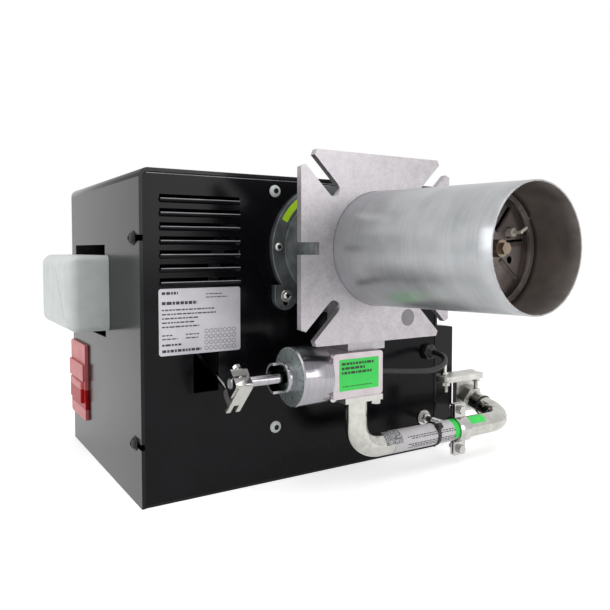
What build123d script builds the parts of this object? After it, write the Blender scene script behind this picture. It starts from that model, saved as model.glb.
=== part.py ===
from build123d import *
from math import cos, sin, radians, degrees, atan2, hypot, tan
import os

# Industrial gas burner, millimetres, +Z up, the blast tube points to -Y.
# Origin: centre of the mounting flange's boiler face, on the tube axis.

# ---- casing
CASE_LEFT = 234.0        # tube axis to the left wall
CASE_RIGHT = 190.0       # tube axis to the right wall
CASE_TOP = 86.0          # tube axis to the top
CASE_BOTTOM = 280.0      # tube axis to the floor
CASE_D = 328.0
CASE_FRONT = 111.0       # front edge of the cover behind the boiler face
WALL = 4.0               # lined cover wall
COVER_R = 10.0           # rounded cover edges along its depth
COVER_BACK_R = 8.0       # rounded edges round its back
PANEL_SET = 1.0          # panel face behind the cover's edge
PANEL_T = 3.0
BASE_T = 3.0
FIT = 0.3                # loose fit of sheet pieces
LOUVRES = 7
LOUVRE_PITCH = 15.1
LOUVRE_H = 7.5
LOUVRE_L = 95.0
LOUVRE_X = -211.5        # left end of the louvres
LOUVRE_Z = -39.5         # lip of the lowest louvre
LIP_T = 1.6
LIP_OUT = 3.0
ROD_HOLE_X = -174.0
ROD_HOLE_W = 30.0
ROD_HOLE_Z = -161.0
ROD_HOLE_H = 53.0
SCREW_Y = 26.0           # cover screw behind the cover's edge
SCREW_SLOT_W = 6.5
SCREW_Z_UP = 11.5
SCREW_Z_LOW = -213.0
SIDE_W = 50.0            # enclosure beside the casing
SIDE_SET = 20.0          # its face behind the cover's edge
SIDE_D = 150.0
SIDE_H = 172.0
SIDE_SLOPE = 6.0

# ---- combustion head
TUBE_R = 62.7            # outside radius at the flange
TUBE_END_R = 56.6        # outside radius at the mouth
TUBE_L = 208.5
TUBE_WALL = 1.5
FLANGE_HALF = 102.0
FLANGE_T = 8.0
FLANGE_CHAMFER = 8.0
CORNER_SLOT_W = 15.0
CORNER_SLOT_R = 80.0     # tube axis to a corner slot's inner end
SIDE_SLOT_W = 13.0
SIDE_SLOT_L = 22.0
PLUG_R = 9.5
PLUG_T = 2.0             # plug set flush into the flange
PLUG_X = 40.0
PLUG_Z = -78.0
SEAT = 0.2               # gap between nested round pieces
NECK_WALL = 5.0
COLLAR_R = 78.0          # cast collar on the panel
COLLAR_T = 9.0
SPIGOT_L = 30.0
EAR_X = -60.0            # clamping ear below the collar's left side
EAR_Z = -58.0
EAR_W = 30.0
EAR_SLOT_L = 12.0
DISC_Y = -151.0          # rear face of the diffuser disc
DISC_T = 2.0
DISC_R = 51.8
DISC_SLOTS = 8
DISC_SLOT_W = 5.0
DISC_SLOT_R = 19.0       # tube axis to a slot's inner end
DISC_RIM = 5.0           # slot's outer end to the disc's edge
DISC_TURN = 40.0         # first slot below the horizontal
VANE_T = 1.2
VANE_D = 7.0
VANE_LEAN = 35.0
DISC_HOLE_R = 8.0
SIGHT_R = 3.5            # sight hole of the flame detector
SIGHT_ANGLE = -20.0
RING_W = 14.0
RING_T = 2.0
RING_LIP = 3.0           # front lip over the disc's edge
RING_TABS = 3
RING_OUT = 7.0           # front edge of the ring before the disc's face
GAS_TUBE_R = 15.0
GAS_TUBE_WALL = 2.0
GAS_HEAD_R = 27.0
GAS_HEAD_L = 26.0
GAS_HEAD_FACE_R = 14.85
GAS_HEAD_CONE = 8.0
GAS_HEAD_TAIL = 6.0
GAS_HEAD_WALL = 3.0
GAS_PORTS = 8
GAS_PORT_R = 3.0
GAS_PORT_Y = 13.0        # ports behind the disc
NOSE_L = 17.0            # nose of the head in front of the disc
ELECTRODE_ANGLES = (28, 118, 208)
ELECTRODE_RING = 31.0    # tube axis to each electrode
ELECTRODE_R = 1.5
CERAMIC_R = 4.0
CERAMIC_OUT = 6.0        # ceramic in front of the disc
CERAMIC_GAP = 1.0
ELECTRODE_L = 92.0
TIP_L = 9.0

# ---- gas valve and its lever
GAS_Y = 45.0             # vertical gas line behind the boiler face
BODY_LEFT = 52.0
BODY_RIGHT = 16.0
BODY_D = 60.0
BODY_H = 50.0
BODY_Z = -140.0
BODY_R = 4.0             # rounded body edges
GAS_BORE_R = 9.5
NECK_BLOCK_W = 52.0
NECK_BLOCK_D = 42.0
DRUM_R = 33.5
DRUM_L = 38.0
DRUM_EDGE = 1.2
STOP_R = 17.0
STOP_L = 20.0
STOP_WALL = 3.0
SHAFT_R = 6.0
SHAFT_OUT = 71.0         # shaft beyond the drum
SHAFT_IN = 12.0          # shaft past the gas line
RUN = 0.05               # running clearance of shafts, on the radius
BUTTERFLY_T = 2.0
BUTTERFLY_GAP = 0.35
LEVER_W = 19.0
LEVER_HALF = 11.5
LEVER_SPLIT = 2.4
LEVER_R = 3.0            # rounded clamp edges
PINCH_R = 2.4            # pinch screw
PINCH_IN = 2.8           # its axis inside the clamp's split face
PINCH_HEAD = 7.5
PINCH_HEAD_H = 3.5
PINCH_WASHER = 2.0
ARM_L = 45.0
ARM_W = 16.0
ARM_T = 3.0
ARM_SLOT_W = 6.0
ARM_SLOT_L = 13.0
PIVOT_DY = 19.0          # rod pivot from the shaft axis
PIVOT_DZ = -15.0
PIVOT_R = 2.5
ROD_R = 2.6
ROD_EYE_R = 5.0
ROD_EYE_W = 6.0
ROD_DY = 122.0           # rod run back to the servo crank
ROD_DZ = 42.0
LUG_T = 2.5

# ---- gas line
PIPE_R = 13.45
PIPE_WALL = 2.65
PIPE_Z = -235.0          # front run
PIPE_BEND_R = 32.0
LEG_X = 260.0
LEG_END_Y = 108.0
LEG_END_Z = -221.0
PIPE_FLANGE_T = 6.5
PIPE_FLANGE_W = 52.0
PIPE_FLANGE_D = 62.0
BOLT_R = 3.0
BOLT_HEAD = 10.0         # across flats
BOLT_HEAD_H = 5.0
BOLT_PAST = 4.0          # bolt end past its nut
BOLT_EDGE = 6.0          # flange bolt axis from the plate's edge
UNION_FLATS = 33.0
UNION_L = 16.0
INLET_W = 76.0
INLET_D = 32.0
INLET_T = 8.0
INLET_Z = -181.0         # top of the inlet flange
INLET_X = 197.0          # its left end
INLET_BLOCK_W = 37.0
INLET_BLOCK_D = 9.0
INLET_R = 5.0            # rounded front corners
INLET_BOLT_IN = 8.0      # bolts from the plate's ends
INLET_BOLT_Y = 9.0       # bolts from its front edge
INLET_BOLT_L = 14.0      # bolt below the plate
NIPPLE_X = 209.0
NIPPLE_H = 23.0
NIPPLE_R = 3.2
NIPPLE_BASE_R = 6.0
NIPPLE_BASE_H = 5.0
CLAMP_X = 166.0
CLAMP_W = 19.0
CLAMP_T = 3.0
CLAMP_LUG = 20.0
CLAMP_GAP = 2.0
STUD_R = 4.0
STUD_WASHER_R = 10.5
STUD_WASHER_T = 2.0
STUD_NUT = 13.0
STUD_NUT_H = 6.5
TIE_X = 121.0
TIE_W = 4.8
TIE_T = 1.4
TIE_HEAD = 7.0

# ---- valve lead
GLAND_X = 173.0
GLAND_Z = -143.0
GLAND_R = 10.0
GLAND_L = 14.0
LEAD_R = 3.5
LEAD_PLUG_L = 12.0
LEAD_PLUG_R = 7.0
LEAD_PLUG_EDGE = 1.5
LEAD_Z = -150.0
LEAD_Y = 62.0
LEAD_ROUTE = [(173, 80, -143), (162, 64, -151), (138, 57, -157), (109, 58, -156), (79, 60, -153),
              (52, 62, -150)]

# ---- switches on the left side
SWITCH_BACK = 47.0       # its rear end before the cover's back
SWITCH_L = 162.0
SWITCH_Z = -100.0
SWITCH_H = 92.0
SWITCH_OUT = 50.0
SWITCH_NECK = 50.0
SWITCH_R = 14.0
SWITCH_STEP = 4.0        # neck inside the cap's outline
WINDOW_BACK = 32.0       # window's rear end before the cover's back
WINDOW_L = 158.0
WINDOW_GAP = 3.0         # window's front edge to the switch's neck
WINDOW_Z = -110.0
WINDOW_H = 115.0
BRACKET_T = 2.0
BRACKET_L = 97.0
LENS_BACK = 10.0         # lens before the cover's back
LENS_L = 84.0
LENS_Z = -237.0
LENS_H = 105.0
LENS_OUT = 4.0
LENS_T = 10.0
LENS_R = 4.0
BUTTON_Z = -214.0
BUTTON_H = 30.0
BUTTON_EDGE = 10.0
BUTTON_OUT = 4.0
BUTTON_TRAVEL = 4.0
BUTTON_R = 2.0
CONTROL_W = 62.0

# ---- fan, motor and servo
FAN_BACK = 149.0         # fan axis before the cover's back
FAN_Z = -50.0
FAN_R = 78.0
FAN_W = 56.0
BLADES = 24
BLADE_T = 1.5
BLADE_D = 12.0
WHEEL_T = 2.0            # its back plate and front rim
HUB_R = 13.0
HUB_L = 20.0
SCROLL_R = 100.0
SCROLL_W = 74.0
SCROLL_WALL = 2.0
DUCT_LOW = 45.0
INTAKE_R = 58.0
MOTOR_R = 60.0
MOTOR_L = 110.0
MOTOR_SHAFT_R = 7.0
SHAFT_HOLE_R = 10.0      # shaft hole in the fan casing
SHAFT_IN_MOTOR = 30.0
MOTOR_FINS = 12
FIN_H = 3.0
FIN_T = 2.0
FIN_END = 12.0           # fins from the motor's ends
SERVO_W = 46.0
SERVO_H = 86.0
SERVO_BEHIND = 22.0
SERVO_SHAFT_L = 11.0
CRANK_T = 4.0
CRANK_R = 8.0
SERVO_SHAFT_R = 5.0

# ---- worked out
PANEL_Y = CASE_FRONT + PANEL_SET
PANEL_BACK = PANEL_Y + PANEL_T
CASE_BACK = CASE_FRONT + CASE_D
SWITCH_Y = CASE_BACK - SWITCH_BACK - SWITCH_L
WINDOW_Y = CASE_BACK - WINDOW_BACK - WINDOW_L
LENS_Y = CASE_BACK - LENS_BACK - LENS_L
FAN_Y = CASE_BACK - FAN_BACK
FLOOR_Z = -CASE_BOTTOM
BASE_TOP = FLOOR_Z + BASE_T
IN_LEFT = -CASE_LEFT + WALL
IN_RIGHT = CASE_RIGHT - WALL
IN_TOP = CASE_TOP - WALL
IN_BACK = CASE_BACK - WALL
NECK_R = TUBE_R - TUBE_WALL - SEAT
NECK_BORE = NECK_R - NECK_WALL
COLLAR_Y = PANEL_Y - COLLAR_T
TAPER = (TUBE_R - TUBE_END_R) / TUBE_L
DISC_FRONT = DISC_Y - DISC_T
BODY_TOP = BODY_Z + BODY_H / 2
BODY_LOW = BODY_Z - BODY_H / 2
DRUM_END = -BODY_LEFT - DRUM_L
SHAFT_END = DRUM_END - SHAFT_OUT
LEVER_X = SHAFT_END + LEVER_W / 2
PIVOT_Y = GAS_Y + PIVOT_DY
PIVOT_Z = BODY_Z + PIVOT_DZ
SERVO_Y = GAS_Y + ROD_DY
SERVO_Z = BODY_Z + ROD_DZ
PIPE_TOP = BODY_LOW - PIPE_FLANGE_T
SIDE_Y = CASE_FRONT + SIDE_SET
CLAMP_R = PIPE_R + SEAT
BUTTON_Y0 = LENS_Y + BUTTON_EDGE
BUTTON_Y1 = LENS_Y + LENS_L - BUTTON_EDGE
LENS_X0 = -CASE_LEFT - LENS_OUT
LENS_X1 = LENS_X0 + LENS_T


def block(x0, x1, y0, y1, z0, z1):
    """Box between two corners."""
    centre = ((x0 + x1) / 2, (y0 + y1) / 2, (z0 + z1) / 2)
    return Pos(*centre) * Box(x1 - x0, y1 - y0, z1 - z0)


def bar_x(r, x0, x1, y, z):
    return Pos((x0 + x1) / 2, y, z) * Rot(0, 90, 0) * Cylinder(r, x1 - x0)


def bar_y(r, y0, y1, x, z):
    return Pos(x, (y0 + y1) / 2, z) * Rot(90, 0, 0) * Cylinder(r, y1 - y0)


def bar_z(r, z0, z1, x, y):
    return Pos(x, y, (z0 + z1) / 2) * Cylinder(r, z1 - z0)


def hex_y(flats, y0, y1, x, z):
    """Hexagon along Y."""
    shape = RegularPolygon(flats / 2, 6, major_radius=False)
    return extrude(Plane((x, y0, z), x_dir=(1, 0, 0), z_dir=(0, 1, 0)) * shape, y1 - y0)


def hex_z(flats, z0, z1, x, y):
    """Hexagon along Z."""
    return extrude(Pos(x, y, z0) * RegularPolygon(flats / 2, 6, major_radius=False), z1 - z0)


def turned_y(points):
    """Ring turned about the tube axis from (radius, y) points."""
    outline = make_face(Polyline(*[(r, y, 0) for r, y in points], close=True))
    return revolve(outline, Axis.Y)


def about_y(shape, angle):
    return Rot(0, angle, 0) * shape


def cover_outline(grow):
    """Cover profile across the burner, open at the floor."""
    x0 = -CASE_LEFT + grow
    x1 = CASE_RIGHT - grow
    z1 = CASE_TOP - grow
    sketch = Pos((x0 + x1) / 2, (FLOOR_Z + z1) / 2) * Rectangle(x1 - x0, z1 - FLOOR_Z)
    return fillet(sketch.vertices().group_by(Axis.Y)[-1], COVER_R - min(grow, COVER_R / 2))


def casing_cover():
    """Lined sheet cover over the burner, open at the front and below."""
    front = Plane((0, CASE_FRONT, 0), x_dir=(1, 0, 0), z_dir=(0, -1, 0))
    outer = extrude(front * cover_outline(0), -CASE_D)
    back = [e for e in outer.edges().group_by(Axis.Y)[-1] if e.center().Z > FLOOR_Z + WALL]
    outer = fillet(back, COVER_BACK_R)
    inner = extrude(front * cover_outline(WALL), -(CASE_D - WALL))
    shell = outer - inner
    window = block(-CASE_LEFT - WALL, IN_LEFT + WALL, WINDOW_Y, WINDOW_Y + WINDOW_L,
                   WINDOW_Z, WINDOW_Z + WINDOW_H)
    lens = block(LENS_X0, IN_LEFT + WALL, LENS_Y - FIT, LENS_Y + LENS_L + FIT,
                 LENS_Z - FIT, LENS_Z + LENS_H + FIT)
    shell = shell - window - lens
    for z in (SCREW_Z_UP, SCREW_Z_LOW):
        slot = block(-CASE_LEFT - WALL, CASE_RIGHT + WALL, CASE_FRONT - 1, CASE_FRONT + SCREW_Y,
                     z - SCREW_SLOT_W / 2, z + SCREW_SLOT_W / 2)
        end = bar_x(SCREW_SLOT_W / 2, -CASE_LEFT - WALL, CASE_RIGHT + WALL, CASE_FRONT + SCREW_Y, z)
        shell = shell - slot - end
    return shell


def base_plate():
    return block(IN_LEFT + FIT, IN_RIGHT - FIT, PANEL_Y, IN_BACK - FIT, FLOOR_Z, BASE_TOP)


def louvre_lip(z):
    """Pressed lip that leans out along a louvre's lower edge."""
    y0 = PANEL_Y
    points = [(y0, z), (y0 - LIP_OUT, z + LIP_OUT), (y0 - LIP_OUT, z + LIP_OUT + LIP_T),
              (y0 - LIP_OUT + LIP_T, z + LIP_OUT + LIP_T), (y0 + LIP_T, z)]
    outline = make_face(Polyline(*[(LOUVRE_X, y, h) for y, h in points], close=True))
    return extrude(outline, LOUVRE_L, dir=(1, 0, 0))


def front_panel():
    """Panel with the head's hole, louvres, the rod's window and cable holes."""
    panel = block(IN_LEFT + FIT, IN_RIGHT - FIT, PANEL_Y, PANEL_BACK, BASE_TOP, IN_TOP - FIT)
    panel = fillet(panel.edges().filter_by(Axis.Y).group_by(Axis.Z)[-1], COVER_R - WALL)
    panel -= bar_y(NECK_R + FIT, PANEL_Y - 1, PANEL_BACK + 1, 0, 0)
    for i in range(LOUVRES):
        z = LOUVRE_Z + i * LOUVRE_PITCH
        panel -= block(LOUVRE_X, LOUVRE_X + LOUVRE_L, PANEL_Y - 1, PANEL_BACK + 1, z, z + LOUVRE_H)
        panel += louvre_lip(z - LIP_T)
    panel -= block(ROD_HOLE_X, ROD_HOLE_X + ROD_HOLE_W, PANEL_Y - 1, PANEL_BACK + 1,
                   ROD_HOLE_Z, ROD_HOLE_Z + ROD_HOLE_H)
    panel -= bar_y(LEAD_R + FIT, PANEL_Y - 1, PANEL_BACK + 1, GLAND_X, GLAND_Z)
    panel -= bar_y(STUD_R + SEAT, PANEL_Y - 1, PANEL_BACK + 1, CLAMP_X, PIPE_Z)
    return panel


def side_enclosure():
    """Low enclosure of the gas inlet beside the casing, with a sloping top."""
    x0 = CASE_RIGHT + FIT
    x1 = CASE_RIGHT + SIDE_W
    points = [(x0, FLOOR_Z), (x1, FLOOR_Z), (x1, FLOOR_Z + SIDE_H - SIDE_SLOPE), (x0, FLOOR_Z + SIDE_H)]
    outline = make_face(Polyline(*[(x, SIDE_Y, z) for x, z in points], close=True))
    return extrude(outline, SIDE_D, dir=(0, 1, 0))


def head_housing():
    """Cast neck with the collar on the panel, its clamping ear and the spigot behind."""
    neck = turned_y([(NECK_BORE, 0), (NECK_R, 0), (NECK_R, COLLAR_Y), (COLLAR_R, COLLAR_Y),
                     (COLLAR_R, PANEL_Y), (NECK_R, PANEL_Y), (NECK_R, PANEL_Y + SPIGOT_L),
                     (NECK_BORE, PANEL_Y + SPIGOT_L)])
    half = EAR_W / 2
    neck += block(EAR_X - half, EAR_X + half, COLLAR_Y, PANEL_Y, EAR_Z, EAR_Z + half)
    neck += bar_y(half, COLLAR_Y, PANEL_Y, EAR_X, EAR_Z)
    slot = SCREW_SLOT_W / 2
    ends = (EAR_Z - EAR_SLOT_L / 2, EAR_Z + EAR_SLOT_L / 2)
    neck -= block(EAR_X - slot, EAR_X + slot, COLLAR_Y - 1, PANEL_Y + 1, *ends)
    for z in ends:
        neck -= bar_y(slot, COLLAR_Y - 1, PANEL_Y + 1, EAR_X, z)
    return neck - bar_z(GAS_TUBE_R + SEAT, -NECK_R - 1, -NECK_BORE / 2, 0, GAS_Y)


def mounting_flange():
    """Square boiler flange with open corner slots and two open side slots."""
    plate = block(-FLANGE_HALF, FLANGE_HALF, 0, FLANGE_T, -FLANGE_HALF, FLANGE_HALF)
    plate -= bar_y(TUBE_R + SEAT, -1, FLANGE_T + 1, 0, 0)
    reach = FLANGE_HALF * 2
    start = CORNER_SLOT_R + CORNER_SLOT_W / 2
    for angle in (45, 135, 225, 315):
        slot = block(start, reach, -1, FLANGE_T + 1, -CORNER_SLOT_W / 2, CORNER_SLOT_W / 2)
        slot += bar_y(CORNER_SLOT_W / 2, -1, FLANGE_T + 1, start, 0)
        plate -= about_y(slot, angle)
    for side in (0, 180):
        inner = FLANGE_HALF - SIDE_SLOT_L
        slot = block(inner, reach, -1, FLANGE_T + 1, -SIDE_SLOT_W / 2, SIDE_SLOT_W / 2)
        plate -= about_y(slot, side)
    tips = [e for e in plate.edges().filter_by(Axis.Y)
            if abs(e.center().X) + abs(e.center().Z) > 2 * FLANGE_HALF - CORNER_SLOT_W]
    plate = chamfer(tips, FLANGE_CHAMFER)
    return plate - bar_y(PLUG_R, -1, PLUG_T, PLUG_X, PLUG_Z)


def flange_plug():
    """Round plug, flush in its seat in the flange's face."""
    return bar_y(PLUG_R, 0, PLUG_T, PLUG_X, PLUG_Z)


def blast_tube():
    """Tapered flame tube that grips the neck behind the flange."""
    return turned_y([(TUBE_R - TUBE_WALL, FLANGE_T), (TUBE_R, FLANGE_T), (TUBE_R, 0),
                     (TUBE_END_R, -TUBE_L), (TUBE_END_R - TUBE_WALL, -TUBE_L),
                     (TUBE_R - TUBE_WALL, 0)])


def diffuser_ring():
    """Ring round the diffuser: a lip over the disc, and tabs that stand off from the tube wall."""
    y0 = DISC_FRONT - RING_OUT
    y1 = y0 + RING_W
    inner = DISC_R + SEAT
    outer = inner + RING_T
    ring = turned_y([(DISC_R - RING_LIP, y0), (outer, y0), (outer, y1), (inner, y1), (inner, y0 + RING_T),
                     (DISC_R - RING_LIP, y0 + RING_T)])
    wall = TUBE_R - TUBE_WALL + TAPER * y0 - SEAT
    tab = block(outer - RING_T / 2, wall, y0, y1, -RING_T / 2, RING_T / 2)
    for i in range(RING_TABS):
        ring += about_y(tab, 90 + i * 360 / RING_TABS)
    return ring


def ring_place(angle):
    """Place on the electrodes' ring, measured from +X towards +Z."""
    return ELECTRODE_RING * cos(radians(angle)), ELECTRODE_RING * sin(radians(angle))


def diffuser_disc():
    """Disc with leaning vanes over its slots, and holes for the nose, the electrodes and the detector."""
    disc = bar_y(DISC_R, DISC_FRONT, DISC_Y, 0, 0)
    reach = DISC_R - DISC_RIM
    vane = Pos((DISC_SLOT_R + reach) / 2, DISC_FRONT, 0) * Rot(VANE_LEAN, 0, 0) * Box(
        reach - DISC_SLOT_R, VANE_T, VANE_D)
    slot = block(DISC_SLOT_R, reach, DISC_FRONT - 1, DISC_Y + 1, 0, DISC_SLOT_W)
    for i in range(DISC_SLOTS):
        turn = DISC_TURN + i * 360 / DISC_SLOTS
        disc -= about_y(slot, turn)
        disc += about_y(vane, turn)
    for angle in ELECTRODE_ANGLES:
        disc -= bar_y(CERAMIC_R + CERAMIC_GAP, DISC_FRONT - VANE_D, DISC_Y + VANE_D, *ring_place(angle))
    disc -= bar_y(SIGHT_R, DISC_FRONT - VANE_D, DISC_Y + VANE_D, *ring_place(SIGHT_ANGLE))
    return disc - bar_y(DISC_HOLE_R, DISC_FRONT - 1, DISC_Y + 1, 0, 0)


def electrode(angle):
    """Ceramic sleeve with a wire bent towards the ring in front of the disc."""
    x, z = ring_place(angle)
    front = DISC_FRONT - CERAMIC_OUT
    sleeve = bar_y(CERAMIC_R, front, front + ELECTRODE_L, x, z)
    wire = bar_y(ELECTRODE_R, front - TIP_L, front, x, z)
    tip = Pos(x, front - TIP_L + ELECTRODE_R, z) * Rot(0, -angle, 0) * bar_x(ELECTRODE_R, 0, TIP_L, 0, 0)
    return sleeve + wire + tip


def gas_head():
    """Nozzle head behind the diffuser, with radial ports and a bolted nose through the disc."""
    y1 = DISC_Y + GAS_HEAD_L
    head = turned_y([(0, DISC_Y), (GAS_HEAD_FACE_R, DISC_Y), (GAS_HEAD_R, DISC_Y + GAS_HEAD_CONE),
                     (GAS_HEAD_R, y1 - GAS_HEAD_TAIL), (GAS_TUBE_R + GAS_HEAD_WALL, y1), (0, y1)])
    head -= bar_y(GAS_TUBE_R - GAS_TUBE_WALL, DISC_Y + GAS_HEAD_CONE, y1 + 1, 0, 0)
    nose = DISC_FRONT - NOSE_L
    head += bar_y(DISC_HOLE_R - SEAT, nose, DISC_Y, 0, 0)
    head += hex_y(BOLT_HEAD, nose - BOLT_HEAD_H, nose, 0, 0)
    port = bar_x(GAS_PORT_R, 0, GAS_HEAD_R + 1, DISC_Y + GAS_PORT_Y, 0)
    for i in range(GAS_PORTS):
        head -= about_y(port, (i + 0.5) * 360 / GAS_PORTS)
    for angle in ELECTRODE_ANGLES:
        head -= bar_y(CERAMIC_R + SEAT, DISC_Y - 1, y1 + 1, *ring_place(angle))
    return head


def gas_tube():
    """Elbow from the valve's neck block to the gas head."""
    end = DISC_Y + GAS_HEAD_L
    low = BODY_TOP + NECK_BLOCK_D / 4
    outer = bar_z(GAS_TUBE_R, low, 0, 0, GAS_Y) + bar_y(GAS_TUBE_R, end, GAS_Y, 0, 0)
    outer += Pos(0, GAS_Y, 0) * Sphere(GAS_TUBE_R)
    bore = GAS_TUBE_R - GAS_TUBE_WALL
    inner = bar_z(bore, low - 1, 0, 0, GAS_Y) + bar_y(bore, end - 1, GAS_Y, 0, 0)
    inner += Pos(0, GAS_Y, 0) * Sphere(bore)
    return outer - inner


def neck_block():
    """Saddle block between the neck and the gas valve."""
    half = NECK_BLOCK_W / 2
    saddle = block(-half, half, GAS_Y - NECK_BLOCK_D / 2, GAS_Y + NECK_BLOCK_D / 2, BODY_TOP, 0)
    saddle -= bar_y(NECK_R + SEAT, GAS_Y - NECK_BLOCK_D, GAS_Y + NECK_BLOCK_D, 0, 0)
    low = BODY_TOP + NECK_BLOCK_D / 4
    saddle -= bar_z(GAS_TUBE_R + SEAT, low, 0, 0, GAS_Y)
    saddle -= bar_z(GAS_BORE_R, BODY_TOP - 1, low + 1, 0, GAS_Y)
    return saddle


def valve_body():
    """Butterfly valve body with the gas bore and the blind shaft bore."""
    body = block(-BODY_LEFT, BODY_RIGHT, GAS_Y - BODY_D / 2, GAS_Y + BODY_D / 2, BODY_LOW, BODY_TOP)
    body = fillet(body.edges().filter_by(Axis.Y), BODY_R)
    body -= bar_z(GAS_BORE_R, BODY_LOW - 1, BODY_TOP + 1, 0, GAS_Y)
    body -= bar_x(SHAFT_R + RUN, -BODY_LEFT - 1, SHAFT_IN + SEAT, GAS_Y, BODY_Z)
    return body


def valve_drum():
    """Stop drum with a shallow rim on its end face."""
    drum = bar_x(DRUM_R, DRUM_END, -BODY_LEFT, GAS_Y, BODY_Z)
    drum = chamfer(drum.edges().group_by(Axis.X)[0], DRUM_EDGE)
    drum -= bar_x(SHAFT_R + RUN, DRUM_END - 1, -BODY_LEFT + 1, GAS_Y, BODY_Z)
    return drum


def stop_collar():
    """Sleeve round the shaft, cut open over the stop pin's sweep."""
    sleeve = bar_x(STOP_R, DRUM_END - STOP_L, DRUM_END, GAS_Y, BODY_Z)
    sleeve -= bar_x(STOP_R - STOP_WALL, DRUM_END - STOP_L - 1, DRUM_END + 1, GAS_Y, BODY_Z)
    sleeve -= block(DRUM_END - STOP_L - 1, DRUM_END - STOP_L / 2, GAS_Y - STOP_R - 1, GAS_Y,
                    BODY_Z - STOP_R - 1, BODY_Z + STOP_R + 1)
    return sleeve


def valve_shaft():
    """Shaft of the butterfly, slotted for its disc."""
    shaft = bar_x(SHAFT_R, SHAFT_END, SHAFT_IN, GAS_Y, BODY_Z)
    shaft = chamfer(shaft.edges().group_by(Axis.X)[0], 1)
    gap = BUTTERFLY_T / 2 + RUN
    slot = block(-GAS_BORE_R, GAS_BORE_R, -SHAFT_R - 1, SHAFT_R + 1, -gap, gap)
    return shaft - Pos(0, GAS_Y, BODY_Z) * Rot(45, 0, 0) * slot


def butterfly_disc():
    """Throttle disc in the shaft's slot, half open at rest."""
    disc = Cylinder(GAS_BORE_R - BUTTERFLY_GAP, BUTTERFLY_T)
    return Pos(0, GAS_Y, BODY_Z) * Rot(45, 0, 0) * disc


def lever_frame():
    """Lever's own frame: its -Y side faces front and up, its -Z side front and down."""
    return Pos(0, GAS_Y, BODY_Z) * Rot(-45, 0, 0)


def lever_clamp():
    """Split clamp block on the shaft's end."""
    x0 = SHAFT_END
    x1 = SHAFT_END + LEVER_W
    h = LEVER_HALF
    clamp = block(x0, x1, -h, h, -h, h)
    clamp = fillet(clamp.edges().filter_by(Axis.X), LEVER_R)
    clamp -= block(x0 - 1, x1 + 1, -h - 1, 0, -LEVER_SPLIT / 2, LEVER_SPLIT / 2)
    clamp -= bar_x(SHAFT_R + RUN, x0 - 1, x1 + 1, 0, 0)
    clamp -= bar_z(PINCH_R + SEAT, -h - 1, h + 1, LEVER_X, -h + PINCH_IN)
    return lever_frame() * clamp


def clamp_screw():
    """Pinch screw across the clamp's split."""
    h = LEVER_HALF
    screw = bar_z(PINCH_R, -h, h + PINCH_WASHER, LEVER_X, -h + PINCH_IN)
    head = hex_z(PINCH_HEAD, h, h + PINCH_HEAD_H, LEVER_X, -h + PINCH_IN)
    return lever_frame() * (screw + head)


def lever_arm():
    """Slotted strip under the clamp, with the two ears of the rod pivot."""
    h = LEVER_HALF
    x0 = LEVER_X - ARM_W / 2
    x1 = LEVER_X + ARM_W / 2
    y0 = -h
    strip = block(x0, x1, y0, y0 + ARM_L, -h - ARM_T, -h)
    strip -= block(LEVER_X - ARM_SLOT_W / 2, LEVER_X + ARM_SLOT_W / 2, y0 + ARM_L - ARM_SLOT_L, y0 + ARM_L + 1,
                   -h - ARM_T - 1, -h + 1)
    along = (PIVOT_DY - PIVOT_DZ) * cos(radians(45))
    above = (PIVOT_DY + PIVOT_DZ) * cos(radians(45))
    near = ROD_EYE_W / 2 + FIT
    far = near + LUG_T
    for x0, x1 in ((LEVER_X - far, LEVER_X - near), (LEVER_X + near, LEVER_X + far)):
        strip += block(x0, x1, along - ROD_EYE_R, along + ROD_EYE_R, -h - ARM_T, above)
        strip += bar_x(ROD_EYE_R, x0, x1, along, above)
    strip += bar_x(PIVOT_R, LEVER_X - far, LEVER_X + far, along, above)
    return lever_frame() * strip


def linkage_rod():
    """Rod with an eye at the lever and an eye at the servo crank."""
    run = hypot(ROD_DY, ROD_DZ)
    tilt = degrees(atan2(ROD_DZ, ROD_DY))
    rod = bar_y(ROD_R, ROD_EYE_R * 0.6, run - ROD_EYE_R * 0.6, LEVER_X, 0)
    for y in (0, run):
        rod += bar_x(ROD_EYE_R, LEVER_X - ROD_EYE_W / 2, LEVER_X + ROD_EYE_W / 2, y, 0)
    for y in (0, run):
        rod -= bar_x(PIVOT_R + RUN, LEVER_X - ROD_EYE_W, LEVER_X + ROD_EYE_W, y, 0)
    return Pos(0, PIVOT_Y, PIVOT_Z) * Rot(tilt, 0, 0) * rod


def servo_crank():
    """Crank on the servo's shaft, with the rod's rear pin."""
    x1 = LEVER_X + ROD_EYE_W / 2 + FIT
    crank = bar_x(CRANK_R, x1, x1 + CRANK_T, SERVO_Y, SERVO_Z)
    y = SERVO_Y + PIVOT_DY
    z = SERVO_Z + PIVOT_DZ
    crank += bar_x(ROD_EYE_R, x1, x1 + CRANK_T, y, z)
    web = hypot(PIVOT_DY, PIVOT_DZ)
    tilt = degrees(atan2(PIVOT_DZ, PIVOT_DY))
    crank += Pos(0, SERVO_Y, SERVO_Z) * Rot(tilt, 0, 0) * block(x1, x1 + CRANK_T, 0, web, -ROD_EYE_R, ROD_EYE_R)
    crank += bar_x(PIVOT_R, LEVER_X - ROD_EYE_W / 2, x1, y, z)
    crank += bar_x(SERVO_SHAFT_R, x1 + CRANK_T, x1 + CRANK_T + SERVO_SHAFT_L, SERVO_Y, SERVO_Z)
    return crank


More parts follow.
